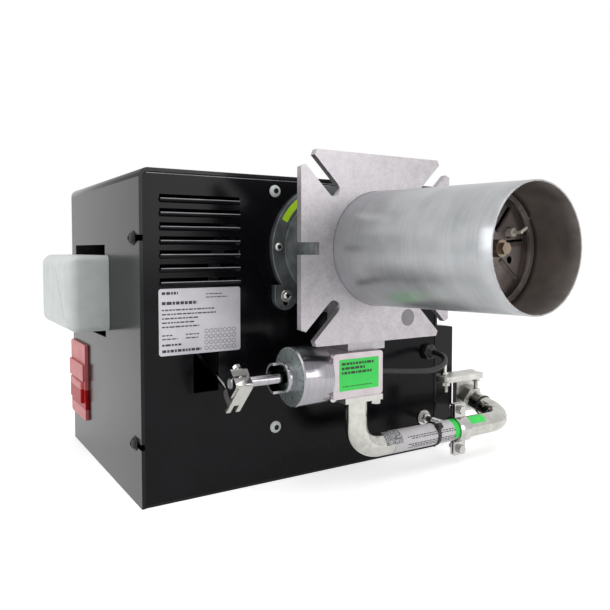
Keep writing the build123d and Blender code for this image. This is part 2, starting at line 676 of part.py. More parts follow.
def servo_motor():
    """Servo box on the back of the panel."""
    x0 = LEVER_X + ROD_EYE_W / 2 + FIT + CRANK_T + FIT * 2
    box = block(x0, x0 + SERVO_W, PANEL_BACK, SERVO_Y + SERVO_BEHIND,
                SERVO_Z - SERVO_H / 2, SERVO_Z + SERVO_H / 2)
    box -= bar_x(SERVO_SHAFT_R + RUN, x0 - 1, x0 + SERVO_SHAFT_L, SERVO_Y, SERVO_Z)
    return box


def pipe_flange():
    """Flange plate under the valve."""
    half = PIPE_FLANGE_D / 2
    x0 = BODY_RIGHT - PIPE_FLANGE_W
    plate = block(x0, BODY_RIGHT, GAS_Y - half, GAS_Y + half, PIPE_TOP, BODY_LOW)
    plate -= bar_z(PIPE_R - PIPE_WALL, PIPE_TOP - 1, BODY_LOW + 1, 0, GAS_Y)
    return plate


def flange_bolt(side):
    """Hex bolt under the flange plate."""
    y = GAS_Y + side * (PIPE_FLANGE_D / 2 - BOLT_EDGE)
    return hex_z(BOLT_HEAD, PIPE_TOP - BOLT_HEAD_H, PIPE_TOP, BODY_RIGHT - BOLT_EDGE, y)


def pipe_path():
    points = [(0, GAS_Y, PIPE_TOP), (0, GAS_Y, PIPE_Z), (LEG_X, GAS_Y, PIPE_Z), (LEG_X, LEG_END_Y, LEG_END_Z)]
    return FilletPolyline(*points, radius=PIPE_BEND_R)


def pipe_section(r):
    return Plane((0, GAS_Y, PIPE_TOP), x_dir=(1, 0, 0), z_dir=(0, 0, -1)) * Circle(r)


def gas_pipe():
    """Bent steel pipe from the inlet union to the valve."""
    path = pipe_path()
    return sweep(pipe_section(PIPE_R), path) - sweep(pipe_section(PIPE_R - PIPE_WALL), path)


def leg_plane(back):
    """Plane square to the pipe's rear leg, set back from its end."""
    run = Vector(0, LEG_END_Y - GAS_Y, LEG_END_Z - PIPE_Z).normalized()
    origin = Vector(LEG_X, LEG_END_Y, LEG_END_Z) + run * back
    return Plane(origin=origin, x_dir=(1, 0, 0), z_dir=run)


def union_nut():
    """Hex union on the end of the pipe."""
    nut = extrude(leg_plane(0) * RegularPolygon(UNION_FLATS / 2, 6, major_radius=False), UNION_L)
    return nut - extrude(leg_plane(-1) * Circle(PIPE_R - PIPE_WALL), UNION_L + 2)


def inlet_flange():
    """Gas inlet casting: bolted plate, and the block that the union screws into."""
    plate = block(INLET_X, INLET_X + INLET_W, SIDE_Y - INLET_D, SIDE_Y, INLET_Z - INLET_T, INLET_Z)
    plate = fillet(plate.edges().filter_by(Axis.Z).group_by(Axis.Y)[0], INLET_R)
    half = INLET_BLOCK_W / 2
    web = block(LEG_X - half, LEG_X + half, SIDE_Y - INLET_BLOCK_D + 1, SIDE_Y, LEG_END_Z - half, INLET_Z)
    casting = plate + web
    casting += extrude(leg_plane(UNION_L) * Circle(UNION_FLATS / 2), UNION_L)
    casting -= extrude(leg_plane(-1) * RegularPolygon(UNION_FLATS / 2 + 1, 6, major_radius=False), UNION_L + 1)
    casting -= block(INLET_X, INLET_X + INLET_W, SIDE_Y, SIDE_Y + UNION_L * 2, LEG_END_Z - UNION_FLATS, INLET_Z)
    for x in inlet_bolt_places():
        casting -= bar_z(BOLT_R + SEAT, INLET_Z - INLET_T - 1, INLET_Z + 1, x, SIDE_Y - INLET_D + INLET_BOLT_Y)
    return casting


def inlet_bolt_places():
    return (INLET_X + INLET_BOLT_IN, INLET_X + INLET_W - INLET_BOLT_IN)


def inlet_bolt(x):
    """Bolt through the inlet plate, its nut below."""
    y = SIDE_Y - INLET_D + INLET_BOLT_Y
    bolt = bar_z(BOLT_R, INLET_Z - INLET_T - INLET_BOLT_L, INLET_Z, x, y)
    bolt += hex_z(BOLT_HEAD, INLET_Z - INLET_T - BOLT_HEAD_H, INLET_Z - INLET_T, x, y)
    return bolt


def test_nipple():
    """Pressure test nipple on the inlet plate."""
    y = SIDE_Y - INLET_D / 2
    nipple = bar_z(NIPPLE_BASE_R, INLET_Z, INLET_Z + NIPPLE_BASE_H, NIPPLE_X, y)
    nipple += bar_z(NIPPLE_R, INLET_Z + NIPPLE_BASE_H, INLET_Z + NIPPLE_H, NIPPLE_X, y)
    return nipple


def clamp_half(side):
    """Half of the pipe clamp, with its two lugs."""
    x0 = CLAMP_X - CLAMP_W / 2
    x1 = CLAMP_X + CLAMP_W / 2
    outer = CLAMP_R + CLAMP_T
    half = bar_x(outer, x0, x1, GAS_Y, PIPE_Z) - bar_x(CLAMP_R, x0 - 1, x1 + 1, GAS_Y, PIPE_Z)
    near = GAS_Y + side * CLAMP_GAP / 2
    keep = near + side * outer * 2
    half &= block(x0, x1, min(near, keep), max(near, keep), PIPE_Z - outer, PIPE_Z + outer)
    far = near + side * CLAMP_T
    for up in (-1, 1):
        z0 = PIPE_Z + up * (CLAMP_R + 1)
        z1 = PIPE_Z + up * (CLAMP_R + CLAMP_LUG)
        lug = block(x0, x1, min(near, far), max(near, far), min(z0, z1), max(z0, z1))
        lug -= bar_y(BOLT_R + SEAT, min(near, far) - 1, max(near, far) + 1, CLAMP_X, clamp_bolt_z(up))
        half += lug
    return half


def clamp_bolt_z(up):
    return PIPE_Z + up * (CLAMP_R + CLAMP_LUG - BOLT_HEAD * 0.8)


def clamp_bolt(up):
    """Bolt and nut through a pair of clamp lugs."""
    z = clamp_bolt_z(up)
    out = CLAMP_GAP / 2 + CLAMP_T
    bolt = bar_y(BOLT_R, GAS_Y - out, GAS_Y + out + BOLT_HEAD_H + BOLT_PAST, CLAMP_X, z)
    bolt += hex_y(BOLT_HEAD, GAS_Y - out - BOLT_HEAD_H, GAS_Y - out, CLAMP_X, z)
    bolt += hex_y(BOLT_HEAD, GAS_Y + out, GAS_Y + out + BOLT_HEAD_H, CLAMP_X, z)
    return bolt


def clamp_stud():
    """Stud from the panel to the clamp, with washer and nut."""
    start = GAS_Y + CLAMP_R + CLAMP_T
    stud = bar_y(STUD_R, start, PANEL_BACK, CLAMP_X, PIPE_Z)
    seat = PANEL_Y - STUD_WASHER_T
    stud += bar_y(STUD_WASHER_R, seat, PANEL_Y, CLAMP_X, PIPE_Z)
    stud += hex_y(STUD_NUT, seat - STUD_NUT_H, seat, CLAMP_X, PIPE_Z)
    return stud


def cable_tie():
    """Nylon tie round the pipe, with its head in front."""
    x0 = TIE_X - TIE_W / 2
    x1 = TIE_X + TIE_W / 2
    inner = PIPE_R + SEAT
    tie = bar_x(inner + TIE_T, x0, x1, GAS_Y, PIPE_Z)
    head = block(x0 - 1, x1 + 1, GAS_Y - TIE_HEAD / 2, GAS_Y + TIE_HEAD / 2, PIPE_Z, PIPE_Z + inner + TIE_HEAD)
    tie += Pos(0, GAS_Y, PIPE_Z) * Rot(45, 0, 0) * Pos(0, -GAS_Y, -PIPE_Z) * head
    return tie - bar_x(inner, x0 - 2, x1 + 2, GAS_Y, PIPE_Z)


def cable_gland():
    """Cable gland on the panel."""
    nut = hex_y(GLAND_R * 2, PANEL_Y - GLAND_L / 2, PANEL_Y, GLAND_X, GLAND_Z)
    dome = Pos(GLAND_X, PANEL_Y - GLAND_L * 0.75, GLAND_Z) * Rot(90, 0, 0) * Cone(
        GLAND_R * 0.9, LEAD_R + 2, GLAND_L / 2)
    bore = bar_y(LEAD_R + SEAT, PANEL_Y - GLAND_L - 1, PANEL_Y + 1, GLAND_X, GLAND_Z)
    return nut + dome - bore


def lead_points():
    """Route of the valve lead, from the gland to the plug on the valve."""
    start = (GLAND_X, PANEL_Y - GLAND_L, GLAND_Z)
    end = (BODY_RIGHT + LEAD_PLUG_L, LEAD_Y, LEAD_Z)
    return [start] + LEAD_ROUTE + [end]


def corner_radii(points):
    """Radius of each corner: 0.45 of the shorter run over tan(half the turn)."""
    radii = []
    for a, b, c in zip(points, points[1:], points[2:]):
        into = Vector(*b) - Vector(*a)
        out = Vector(*c) - Vector(*b)
        turn = into.get_angle(out)
        radii.append(0.45 * min(into.length, out.length) / tan(radians(turn) / 2))
    return radii


def valve_lead():
    """Lead of the valve's actuator, along straight runs and tangent arcs."""
    points = lead_points()
    radii = corner_radii(points)
    path = FilletPolyline(*points, radius=radii)
    print("lead radii", [round(r, 1) for r in radii], "length", round(path.length, 1))
    run = (Vector(*points[1]) - Vector(*points[0])).normalized()
    section = Plane(origin=points[0], z_dir=run) * Circle(LEAD_R)
    lead = sweep(section, path)
    print("lead volume ratio", round(lead.volume / (section.area * path.length), 4))
    return lead


def lead_plug():
    """Round plug of the lead on the valve's right side."""
    plug = bar_x(LEAD_PLUG_R, BODY_RIGHT, BODY_RIGHT + LEAD_PLUG_L, LEAD_Y, LEAD_Z)
    return chamfer(plug.edges().group_by(Axis.X)[-1], LEAD_PLUG_EDGE)


def pressure_switch():
    """Moulded switch box that stands out of the cover's window."""
    x0 = -CASE_LEFT - SWITCH_OUT
    x1 = -CASE_LEFT - FIT
    cap = block(x0, x1, SWITCH_Y, SWITCH_Y + SWITCH_L, SWITCH_Z, SWITCH_Z + SWITCH_H)
    cap = fillet(cap.edges().group_by(Axis.X)[0], SWITCH_R)
    cap = fillet(cap.edges().filter_by(Axis.X), SWITCH_R / 2)
    neck = block(x1, x1 + SWITCH_NECK, WINDOW_Y + WINDOW_GAP, SWITCH_Y + SWITCH_L - SWITCH_STEP,
                 SWITCH_Z + SWITCH_STEP, SWITCH_Z + SWITCH_H - SWITCH_STEP)
    return cap + neck


def switch_bracket():
    """Upright sheet on the base that carries the pressure switch."""
    x0 = -CASE_LEFT - FIT + SWITCH_NECK
    return block(x0, x0 + BRACKET_T, SWITCH_Y, SWITCH_Y + BRACKET_L, BASE_TOP, SWITCH_Z + SWITCH_H)


def reset_lens():
    """Red frame of the control unit round the reset button."""
    lens = block(LENS_X0, LENS_X1, LENS_Y, LENS_Y + LENS_L, LENS_Z, LENS_Z + LENS_H)
    lens = fillet(lens.edges().filter_by(Axis.X), LENS_R)
    return lens - block(LENS_X0 - 1, LENS_X1 + 1, BUTTON_Y0 - FIT, BUTTON_Y1 + FIT,
                        BUTTON_Z - FIT, BUTTON_Z + BUTTON_H + FIT)


def reset_button():
    """Wide reset button in the lens frame."""
    button = block(LENS_X0 - BUTTON_OUT, LENS_X1 - FIT, BUTTON_Y0, BUTTON_Y1, BUTTON_Z, BUTTON_Z + BUTTON_H)
    return fillet(button.edges().group_by(Axis.X)[0], BUTTON_R)


def control_box():
    """Control unit behind the lens, with a pocket for the button's travel."""
    x0 = LENS_X1
    box = block(x0, x0 + CONTROL_W, LENS_Y, LENS_Y + LENS_L, BASE_TOP, LENS_Z + LENS_H)
    return box - block(x0 - 1, x0 + BUTTON_TRAVEL + FIT, BUTTON_Y0 - FIT, BUTTON_Y1 + FIT,
                       BUTTON_Z - FIT, BUTTON_Z + BUTTON_H + FIT)


def scroll_form(inset):
    """Fan casing's form: a drum with the duct to the panel."""
    half = SCROLL_W / 2 - inset
    r = SCROLL_R - inset
    form = bar_x(r, -half, half, FAN_Y, FAN_Z)
    front = PANEL_Y + SPIGOT_L + FIT - (1 if inset else 0)
    form += block(-half, half, front, FAN_Y, -DUCT_LOW + inset, FAN_Z + r)
    return form


def fan_scroll():
    """Fan casing, open to the head and at its intake."""
    shell = scroll_form(0) - scroll_form(SCROLL_WALL)
    shell -= bar_x(INTAKE_R, -SCROLL_W, 0, FAN_Y, FAN_Z)
    shell -= bar_x(SHAFT_HOLE_R, 0, SCROLL_W, FAN_Y, FAN_Z)
    return shell


def fan_wheel():
    """Forward-curved fan wheel on its back plate and hub."""
    back = FAN_W / 2
    wheel = bar_x(FAN_R, back - WHEEL_T, back, FAN_Y, FAN_Z)
    wheel += bar_x(HUB_R, back - HUB_L, back, FAN_Y, FAN_Z)
    rim = bar_x(FAN_R, -back, -back + WHEEL_T, FAN_Y, FAN_Z)
    wheel += rim - bar_x(FAN_R - BLADE_D, -back - 1, -back + WHEEL_T + 1, FAN_Y, FAN_Z)
    blade = block(-back + 1, back - 1, FAN_R - BLADE_D, FAN_R - 0.5, 0, BLADE_T)
    for i in range(BLADES):
        wheel += Pos(0, FAN_Y, FAN_Z) * Rot(i * 360 / BLADES, 0, 0) * blade
    return wheel - bar_x(MOTOR_SHAFT_R + RUN, -back, back + 1, FAN_Y, FAN_Z)


def motor_shaft():
    return bar_x(MOTOR_SHAFT_R, FAN_W / 2 - HUB_L, SCROLL_W / 2 + SHAFT_IN_MOTOR, FAN_Y, FAN_Z)


def fan_motor():
    """Finned motor on the side of the fan casing."""
    x0 = SCROLL_W / 2
    motor = bar_x(MOTOR_R, x0, x0 + MOTOR_L, FAN_Y, FAN_Z)
    fin = block(x0 + FIN_END, x0 + MOTOR_L - FIN_END, MOTOR_R - 1, MOTOR_R + FIN_H, -FIN_T / 2, FIN_T / 2)
    for i in range(MOTOR_FINS):
        motor += Pos(0, FAN_Y, FAN_Z) * Rot(i * 360 / MOTOR_FINS, 0, 0) * fin
    return motor - bar_x(MOTOR_SHAFT_R + RUN, x0 - 1, x0 + SHAFT_IN_MOTOR + 1, FAN_Y, FAN_Z)


PIECES = {
    "casing_cover": casing_cover(),
    "base_plate": base_plate(),
    "front_panel": front_panel(),
    "side_enclosure": side_enclosure(),
    "head_housing": head_housing(),
    "mounting_flange": mounting_flange(),
    "flange_plug": flange_plug(),
    "blast_tube": blast_tube(),
    "diffuser_ring": diffuser_ring(),
    "diffuser_disc": diffuser_disc(),
    "gas_head": gas_head(),
    "gas_tube": gas_tube(),
    "neck_block": neck_block(),
    "valve_body": valve_body(),
    "valve_drum": valve_drum(),
    "stop_collar": stop_collar(),
    "valve_shaft": valve_shaft(),
    "butterfly_disc": butterfly_disc(),
    "lever_clamp": lever_clamp(),
    "clamp_screw": clamp_screw(),
    "lever_arm": lever_arm(),
    "linkage_rod": linkage_rod(),
    "servo_crank": servo_crank(),
    "servo_motor": servo_motor(),
    "pipe_flange": pipe_flange(),
    "gas_pipe": gas_pipe(),
    "union_nut": union_nut(),
    "inlet_flange": inlet_flange(),
    "test_nipple": test_nipple(),
    "pipe_clamp_front": clamp_half(-1),
    "pipe_clamp_back": clamp_half(1),
    "clamp_stud": clamp_stud(),
    "cable_tie": cable_tie(),
    "cable_gland": cable_gland(),
    "valve_lead": valve_lead(),
    "lead_plug": lead_plug(),
    "pressure_switch": pressure_switch(),
    "switch_bracket": switch_bracket(),
    "reset_lens": reset_lens(),
    "reset_button": reset_button(),
    "control_box": control_box(),
    "fan_scroll": fan_scroll(),
    "fan_wheel": fan_wheel(),
    "motor_shaft": motor_shaft(),
    "fan_motor": fan_motor(),
}
for number, angle in enumerate(ELECTRODE_ANGLES, 1):
    PIECES[f"electrode_{number}"] = electrode(angle)
for number, side in enumerate((-1, 1), 1):
    PIECES[f"flange_bolt_{number}"] = flange_bolt(side)
    PIECES[f"clamp_bolt_{number}"] = clamp_bolt(side)
for number, x in enumerate(inlet_bolt_places(), 1):
    PIECES[f"inlet_bolt_{number}"] = inlet_bolt(x)

os.makedirs("parts", exist_ok=True)
for name, piece in PIECES.items():
    export_step(piece, f"parts/{name}.step")
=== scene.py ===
# %% [markdown]
# A forced-draught gas burner is bolted to a boiler door. Its casing holds the fan, its tube blows the
# flame into the boiler, and its valve and lever set how much gas comes in. The CAD frame gives every
# rigid piece its place and size, so this lesson never moves or reshapes one. It adds finishes, light and
# the fine pieces that a CAD model leaves out: screws, threads, labels and the valve's lead.

# %% Load the frame
from math import radians
import bmesh
import bpy
import numpy as np
from mathutils import Matrix, Vector


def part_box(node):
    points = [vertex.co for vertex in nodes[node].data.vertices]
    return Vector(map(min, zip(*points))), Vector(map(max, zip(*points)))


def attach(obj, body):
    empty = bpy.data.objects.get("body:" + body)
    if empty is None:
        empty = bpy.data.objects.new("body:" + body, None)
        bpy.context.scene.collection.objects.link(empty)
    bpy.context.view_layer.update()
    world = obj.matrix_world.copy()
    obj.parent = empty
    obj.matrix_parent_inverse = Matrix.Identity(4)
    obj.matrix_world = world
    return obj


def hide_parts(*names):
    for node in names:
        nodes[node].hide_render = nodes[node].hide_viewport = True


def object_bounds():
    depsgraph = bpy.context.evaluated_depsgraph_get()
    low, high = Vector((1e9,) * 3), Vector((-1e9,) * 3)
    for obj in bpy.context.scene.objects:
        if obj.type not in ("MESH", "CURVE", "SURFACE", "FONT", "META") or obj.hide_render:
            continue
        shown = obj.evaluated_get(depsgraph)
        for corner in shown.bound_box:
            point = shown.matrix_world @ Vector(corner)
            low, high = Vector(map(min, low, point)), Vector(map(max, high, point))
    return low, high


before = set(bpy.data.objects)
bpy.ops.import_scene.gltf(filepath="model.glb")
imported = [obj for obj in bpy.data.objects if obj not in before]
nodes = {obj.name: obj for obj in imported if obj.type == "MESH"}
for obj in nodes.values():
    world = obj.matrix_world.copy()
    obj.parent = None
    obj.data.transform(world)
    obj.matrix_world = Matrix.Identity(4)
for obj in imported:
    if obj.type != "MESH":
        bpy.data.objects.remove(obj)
cad_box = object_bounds()
print("CAD box", cad_box)

# %% [markdown]
# A maker thinks in millimetres and Blender in metres, so one factor joins the two. The places of the new
# pieces could be typed in, but they are read from the boxes of the CAD nodes that carry them. A piece
# then stays on its carrier if that is made another size.

# %% Units and boxes
MM = 0.001


def box_mm(node):
    """Lowest and highest corner of a CAD node, in millimetres."""
    low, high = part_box(node)
    return np.array(low) / MM, np.array(high) / MM


panel_low, panel_high = box_mm("front_panel")
cover_low, cover_high = box_mm("casing_cover")
valve_low, valve_high = box_mm("valve_body")
drum_low, drum_high = box_mm("valve_drum")
pipe_low, pipe_high = box_mm("gas_pipe")
LOUVRE_LIP = 3.0
COLLAR_RIM = 9.0
panel_face = panel_low[1] + LOUVRE_LIP
collar_face = panel_face - COLLAR_RIM
shaft_axis = (drum_low + drum_high)[1:] / 2
print("panel face at", round(panel_face, 1), "shaft axis at", shaft_axis.round(1))

# %% [markdown]
# The camera stands at the front left, about level with the blast tube, with a normal lens. It could be
# aimed down at the middle of the burner, which makes the casing's uprights lean together. It looks
# almost level instead, and the picture is shifted down, as an architect's camera does.

# %% Camera
camera_data = bpy.data.cameras.new("studio_camera")
camera_data.sensor_width = 36
camera_data.lens = 37.98
camera_data.shift_y = -0.0445
camera_data.clip_end = 20
camera = bpy.data.objects.new("studio_camera", camera_data)
bpy.context.scene.collection.objects.link(camera)
camera.location = Vector((-443.3, -557.2, -1.0)) * MM
camera.rotation_euler = (radians(90 - 2.52), 0, radians(-31.82))
bpy.context.scene.camera = camera
print("lens", camera_data.lens, "mm")

# %% [markdown]
# A finish is a Principled shader whose colour, roughness and bump come from small patterns. Images could
# give them, but patterns worked out by nodes have no seams and no resolution. One function adds any
# node, sets it and links it, so that each material below reads as a list of its nodes. Patterns are laid
# on Object coordinates and scaled from real millimetres.

# %% Colour and nodes


def linear(hex_colour):
    """Hex sRGB to linear RGBA: c/12.92 below 0.04045, else ((c+0.055)/1.055)^2.4."""
    channels = np.array([int(hex_colour[i:i + 2], 16) for i in (1, 3, 5)]) / 255
    value = np.where(channels <= 0.04045, channels / 12.92, ((channels + 0.055) / 1.055) ** 2.4)
    return (*value.tolist(), 1.0)


def plug(tree, node, inputs):
    """Fills a node's inputs: another node's output is linked, a number or colour is set."""
    for key, value in inputs.items():
        if isinstance(value, bpy.types.NodeSocket):
            tree.links.new(value, node.inputs[key])
        else:
            node.inputs[key].default_value = value


def add(tree, kind, inputs, out=0, ramp=(), **settings):
    """Adds one node with its settings and inputs, and returns one output. A ramp is position: colour."""
    node = tree.nodes.new(kind)
    for key, value in settings.items():
        setattr(node, key, value)
    for number, (position, colour) in enumerate(ramp):
        node.color_ramp.elements[number].position = position
        node.color_ramp.elements[number].color = linear(colour)
    plug(tree, node, inputs)
    return node.outputs[out]


def cells(*size_mm):
    """Pattern scale, in cells per metre along X, Y and Z, from the cell's size in millimetres."""
    sizes = size_mm if len(size_mm) == 3 else size_mm * 3
    return [1 / (size * MM) for size in sizes]


def new_material(name):
    """Material with a Principled shader: its tree, the shader and the Object coordinates."""
    made = bpy.data.materials.new(name)
    made.use_nodes = True
    tree = made.node_tree
    return made, tree, tree.nodes["Principled BSDF"], add(tree, "ShaderNodeTexCoord", {}, "Object")


print("white is", linear("#ffffff"))

# %% [markdown]
# Many finishes here differ only in their numbers: a slow cloud shifts the colour and the gloss a little,
# as dust, handling and uneven plating do, and a finer grain gives the skin its bump. Each could have its
# own nodes, but one function for the whole finish keeps them alike and short.

# %% Clouded finish
RAMP_LOW = 0.35
RAMP_HIGH = 0.65


def clouded(name, dark, pale, rough, cloud_mm, grain_mm, depth_mm, detail=(3.0, 3.0), constants=()):
    """Colour and roughness follow a cloud, the bump follows a grain. Details are cloud's and grain's."""
    made, tree, shader, place = new_material(name)
    cloud_cells = add(tree, "ShaderNodeMapping", {"Vector": place, "Scale": cells(cloud_mm)})
    cloud = add(tree, "ShaderNodeTexNoise", {"Vector": cloud_cells, "Scale": 1.0, "Detail": detail[0]})
    grain_cells = add(tree, "ShaderNodeMapping", {"Vector": place, "Scale": cells(grain_mm)})
    grain = add(tree, "ShaderNodeTexNoise", {"Vector": grain_cells, "Scale": 1.0, "Detail": detail[1]})
    plug(tree, shader, {
        "Base Color": add(tree, "ShaderNodeValToRGB", {"Fac": cloud},
                          ramp=((RAMP_LOW, dark), (RAMP_HIGH, pale))),
        "Roughness": add(tree, "ShaderNodeMapRange",
                         {"Value": cloud, "To Min": rough[0], "To Max": rough[1]}),
        "Normal": add(tree, "ShaderNodeBump",
                      {"Height": grain, "Strength": 1.0, "Distance": depth_mm * MM}),
        **dict(constants)})
    return made


print("clouds turn from dark to pale between", RAMP_LOW, "and", RAMP_HIGH)

# %% [markdown]
# The casing is sheet steel with stoved black enamel, a smooth sprayed paint. Its clouds are 40 mm of faint
# dust, and its bump is the orange peel, 4 mm across, that bends reflections. The panel is less glossy than
# the cover, since hands polish the cover. The rolled edges of its louvres carry painted highlights, pale
# grey beads made further down.

# %% Enamel
DUST_MM = 40
PEEL_MM = 4
PEEL_DEPTH = 0.012
PEEL_DETAIL = 1.0


def black_enamel(name, gloss):
    """Stoved enamel: the gloss is the strength of its mirror layer."""
    return clouded(name, "#08080b", "#0e0e12", (0.14, 0.22), DUST_MM, PEEL_MM, PEEL_DEPTH,
                   (3.0, PEEL_DETAIL), {"Specular IOR Level": gloss})


enamel = black_enamel("black_enamel", 0.22)
panel_enamel = black_enamel("panel_enamel", 0.13)
print("enamels", enamel.name, panel_enamel.name)

# %% [markdown]
# The boiler flange is hot-dip galvanised sheet. Zinc cools into crystals, the spangle, each with its own
# grey and gloss, under a dull bloom. A Voronoi pattern gives each crystal one tone, where plain noise
# would only blur, and noise gives the bloom over it. It is nearly all metal, and the bloom is the rest.

# %% Galvanised steel


def galvanised(name, dark, pale, spangle_mm, rough):
    """Voronoi crystals mixed with 14 mm bloom, and a bump of 1.2 mm grain."""
    made, tree, shader, place = new_material(name)
    crystal_cells = add(tree, "ShaderNodeMapping", {"Vector": place, "Scale": cells(spangle_mm)})
    crystal = add(tree, "ShaderNodeTexVoronoi", {"Vector": crystal_cells, "Scale": 1.0}, "Color")
    tone = add(tree, "ShaderNodeSeparateColor", {"Color": crystal})
    bloom_cells = add(tree, "ShaderNodeMapping", {"Vector": place, "Scale": cells(14)})
    bloom = add(tree, "ShaderNodeTexNoise", {"Vector": bloom_cells, "Scale": 1.0, "Detail": 5.0})
    both = add(tree, "ShaderNodeMix", {"Factor": 0.75, "A": tone, "B": bloom}, "Result")
    grain_cells = add(tree, "ShaderNodeMapping", {"Vector": place, "Scale": cells(1.2)})
    grain = add(tree, "ShaderNodeTexNoise", {"Vector": grain_cells, "Scale": 1.0, "Detail": 3.0})
    plug(tree, shader, {
        "Metallic": 0.88,
        "Base Color": add(tree, "ShaderNodeValToRGB", {"Fac": both}, ramp=((0.3, dark), (0.7, pale))),
        "Roughness": add(tree, "ShaderNodeMapRange",
                         {"Value": both, "To Min": rough[0], "To Max": rough[1]}),
        "Normal": add(tree, "ShaderNodeBump", {"Height": grain, "Strength": 1.0, "Distance": 0.01 * MM})})
    return made


zinc_sheet = galvanised("galvanised_steel", "#a5a1a4", "#b6b2b6", 2.2, (0.36, 0.46))
zinc_small = galvanised("galvanised_fitting", "#b9b8b3", "#c9c7c2", 2.0, (0.24, 0.34))
print("galvanised", zinc_sheet.name, zinc_small.name)

# %% [markdown]
# The blast tube is rolled from the same sheet. Rolling leaves faint rings round its axis, and the inside is
# given a darker, browner grey than the outside. The two sides could be two materials, but they share one
# CAD skin, so the shader tells them apart: where the normal points towards the tube's axis, the surface is
# inner wall.

# %% Rolled tube wall


def heat_tube():
    """Rings 2.5 mm apart along Y, clouds of 22 mm, and a darker, browner grey where normal . (x, 0, z) is
    below 0.
    """
    made, tree, shader, place = new_material("rolled_tube_steel")
    normal = add(tree, "ShaderNodeNewGeometry", {}, "Normal")
    outward = add(tree, "ShaderNodeVectorMath", {0: place, 1: (1, 0, 1)}, operation="MULTIPLY")
    side = add(tree, "ShaderNodeVectorMath", {0: outward, 1: normal}, "Value", operation="DOT_PRODUCT")
    inner = add(tree, "ShaderNodeMath", {0: side, 1: 0.0}, operation="LESS_THAN")
    ring_cells = add(tree, "ShaderNodeMapping", {"Vector": place, "Scale": cells(60, 2.5, 60)})
    rings = add(tree, "ShaderNodeTexNoise", {"Vector": ring_cells, "Scale": 1.0, "Detail": 4.0})
    cloud_cells = add(tree, "ShaderNodeMapping", {"Vector": place, "Scale": cells(22)})
    cloud = add(tree, "ShaderNodeTexNoise", {"Vector": cloud_cells, "Scale": 1.0, "Detail": 4.0})
    both = add(tree, "ShaderNodeMix", {"Factor": 0.6, "A": rings, "B": cloud}, "Result")
    bright = add(tree, "ShaderNodeValToRGB", {"Fac": both}, ramp=((0.3, "#a0a3a5"), (0.7, "#b6b7b9")))
    # Darker, browner grey for the inner wall.
    inner_wall_tone = add(tree, "ShaderNodeValToRGB", {"Fac": cloud}, ramp=((0.3, "#857e7b"), (0.7, "#9e9692")))
    gloss = add(tree, "ShaderNodeMapRange", {"Value": both, "To Min": 0.26, "To Max": 0.4})
    plug(tree, shader, {
        "Metallic": 0.9,
        "Base Color": add(tree, "ShaderNodeMix", {"Factor": inner, "A": bright, "B": inner_wall_tone}, "Result",
                          data_type="RGBA"),
        "Roughness": add(tree, "ShaderNodeMath", {0: inner, 1: 0.22, 2: gloss}, operation="MULTIPLY_ADD"),
        "Normal": add(tree, "ShaderNodeBump", {"Height": rings, "Strength": 1.0, "Distance": 0.008 * MM})})
    return made


tube_steel = heat_tube()
print("tube", tube_steel.name)

# %% [markdown]
# The valve's drum, its shaft and the sleeve round it are turned steel. The lathe leaves fine rings, so the
# pattern repeats each half millimetre along X and hardly across it. The drum's end was faced and etched
# satin. The inside of the sleeve is painted shade: near-black, where its deep inside lies in shadow.
# Normals tell these sides apart, as in the tube.

# %% Turned steel
FACED = 0.9
BORE = -0.003


def turned_steel():
    """Rings along X, satin where the normal faces -X, and painted shade where it points at the shaft's
    axis.
    """
    made, tree, shader, place = new_material("turned_steel")
    normal = add(tree, "ShaderNodeNewGeometry", {}, "Normal")
    mark_cells = add(tree, "ShaderNodeMapping", {"Vector": place, "Scale": cells(0.5, 30, 30)})
    marks = add(tree, "ShaderNodeTexNoise", {"Vector": mark_cells, "Scale": 1.0, "Detail": 2.0})
    facing = add(tree, "ShaderNodeVectorMath", {0: normal, 1: (-1, 0, 0)}, "Value",
                 operation="DOT_PRODUCT")
    face = add(tree, "ShaderNodeMath", {0: facing, 1: FACED}, operation="GREATER_THAN")
    axis = (0, shaft_axis[0] * MM, shaft_axis[1] * MM)
    centred = add(tree, "ShaderNodeVectorMath", {0: place, 1: axis}, operation="SUBTRACT")
    across = add(tree, "ShaderNodeVectorMath", {0: centred, 1: (0, 1, 1)}, operation="MULTIPLY")
    side = add(tree, "ShaderNodeVectorMath", {0: across, 1: normal}, "Value", operation="DOT_PRODUCT")
    # Painted shade: faces whose normal points at the shaft's axis, inside the sleeve, turn near-black
    # #1c1c1e.
    bore = add(tree, "ShaderNodeMath", {0: side, 1: BORE}, operation="LESS_THAN")
    steel = add(tree, "ShaderNodeValToRGB", {"Fac": marks},
                ramp=((RAMP_LOW, "#97949a"), (RAMP_HIGH, "#aaa7ab")))
    satin = add(tree, "ShaderNodeMix", {"Factor": face, "A": steel, "B": linear("#a9b3b1")}, "Result",
                data_type="RGBA")
    gloss = add(tree, "ShaderNodeMapRange", {"Value": marks, "To Min": 0.14, "To Max": 0.22})
    plug(tree, shader, {
        "Metallic": 1.0,
        "Base Color": add(tree, "ShaderNodeMix", {"Factor": bore, "A": satin, "B": linear("#1c1c1e")},
                          "Result", data_type="RGBA"),
        "Roughness": add(tree, "ShaderNodeMath", {0: face, 1: 0.3, 2: gloss}, operation="MULTIPLY_ADD"),
        "Normal": add(tree, "ShaderNodeBump", {"Height": marks, "Strength": 1.0, "Distance": 0.002 * MM})})
    return made


ground_steel = turned_steel()
print("turned", ground_steel.name)

# %% [markdown]
# Bolts, clamps and the gas pipe are zinc-plated steel: near mirrors with clouds of 9 mm in the plating.
# The collar, the valve and the inlet are cast aluminium, whose skin keeps the grain of its sand, 1.1 mm,
# and scatters light. The burner head is steel and brass that fire has browned. All are clouded finishes.

# %% Plated and cast metals


def plated(name, dark, pale):
    """Bright zinc plating, with 9 mm clouds and hardly any grain."""
    return clouded(name, dark, pale, (0.1, 0.18), 9, 1.5, 0.0015, constants={"Metallic": 1.0})


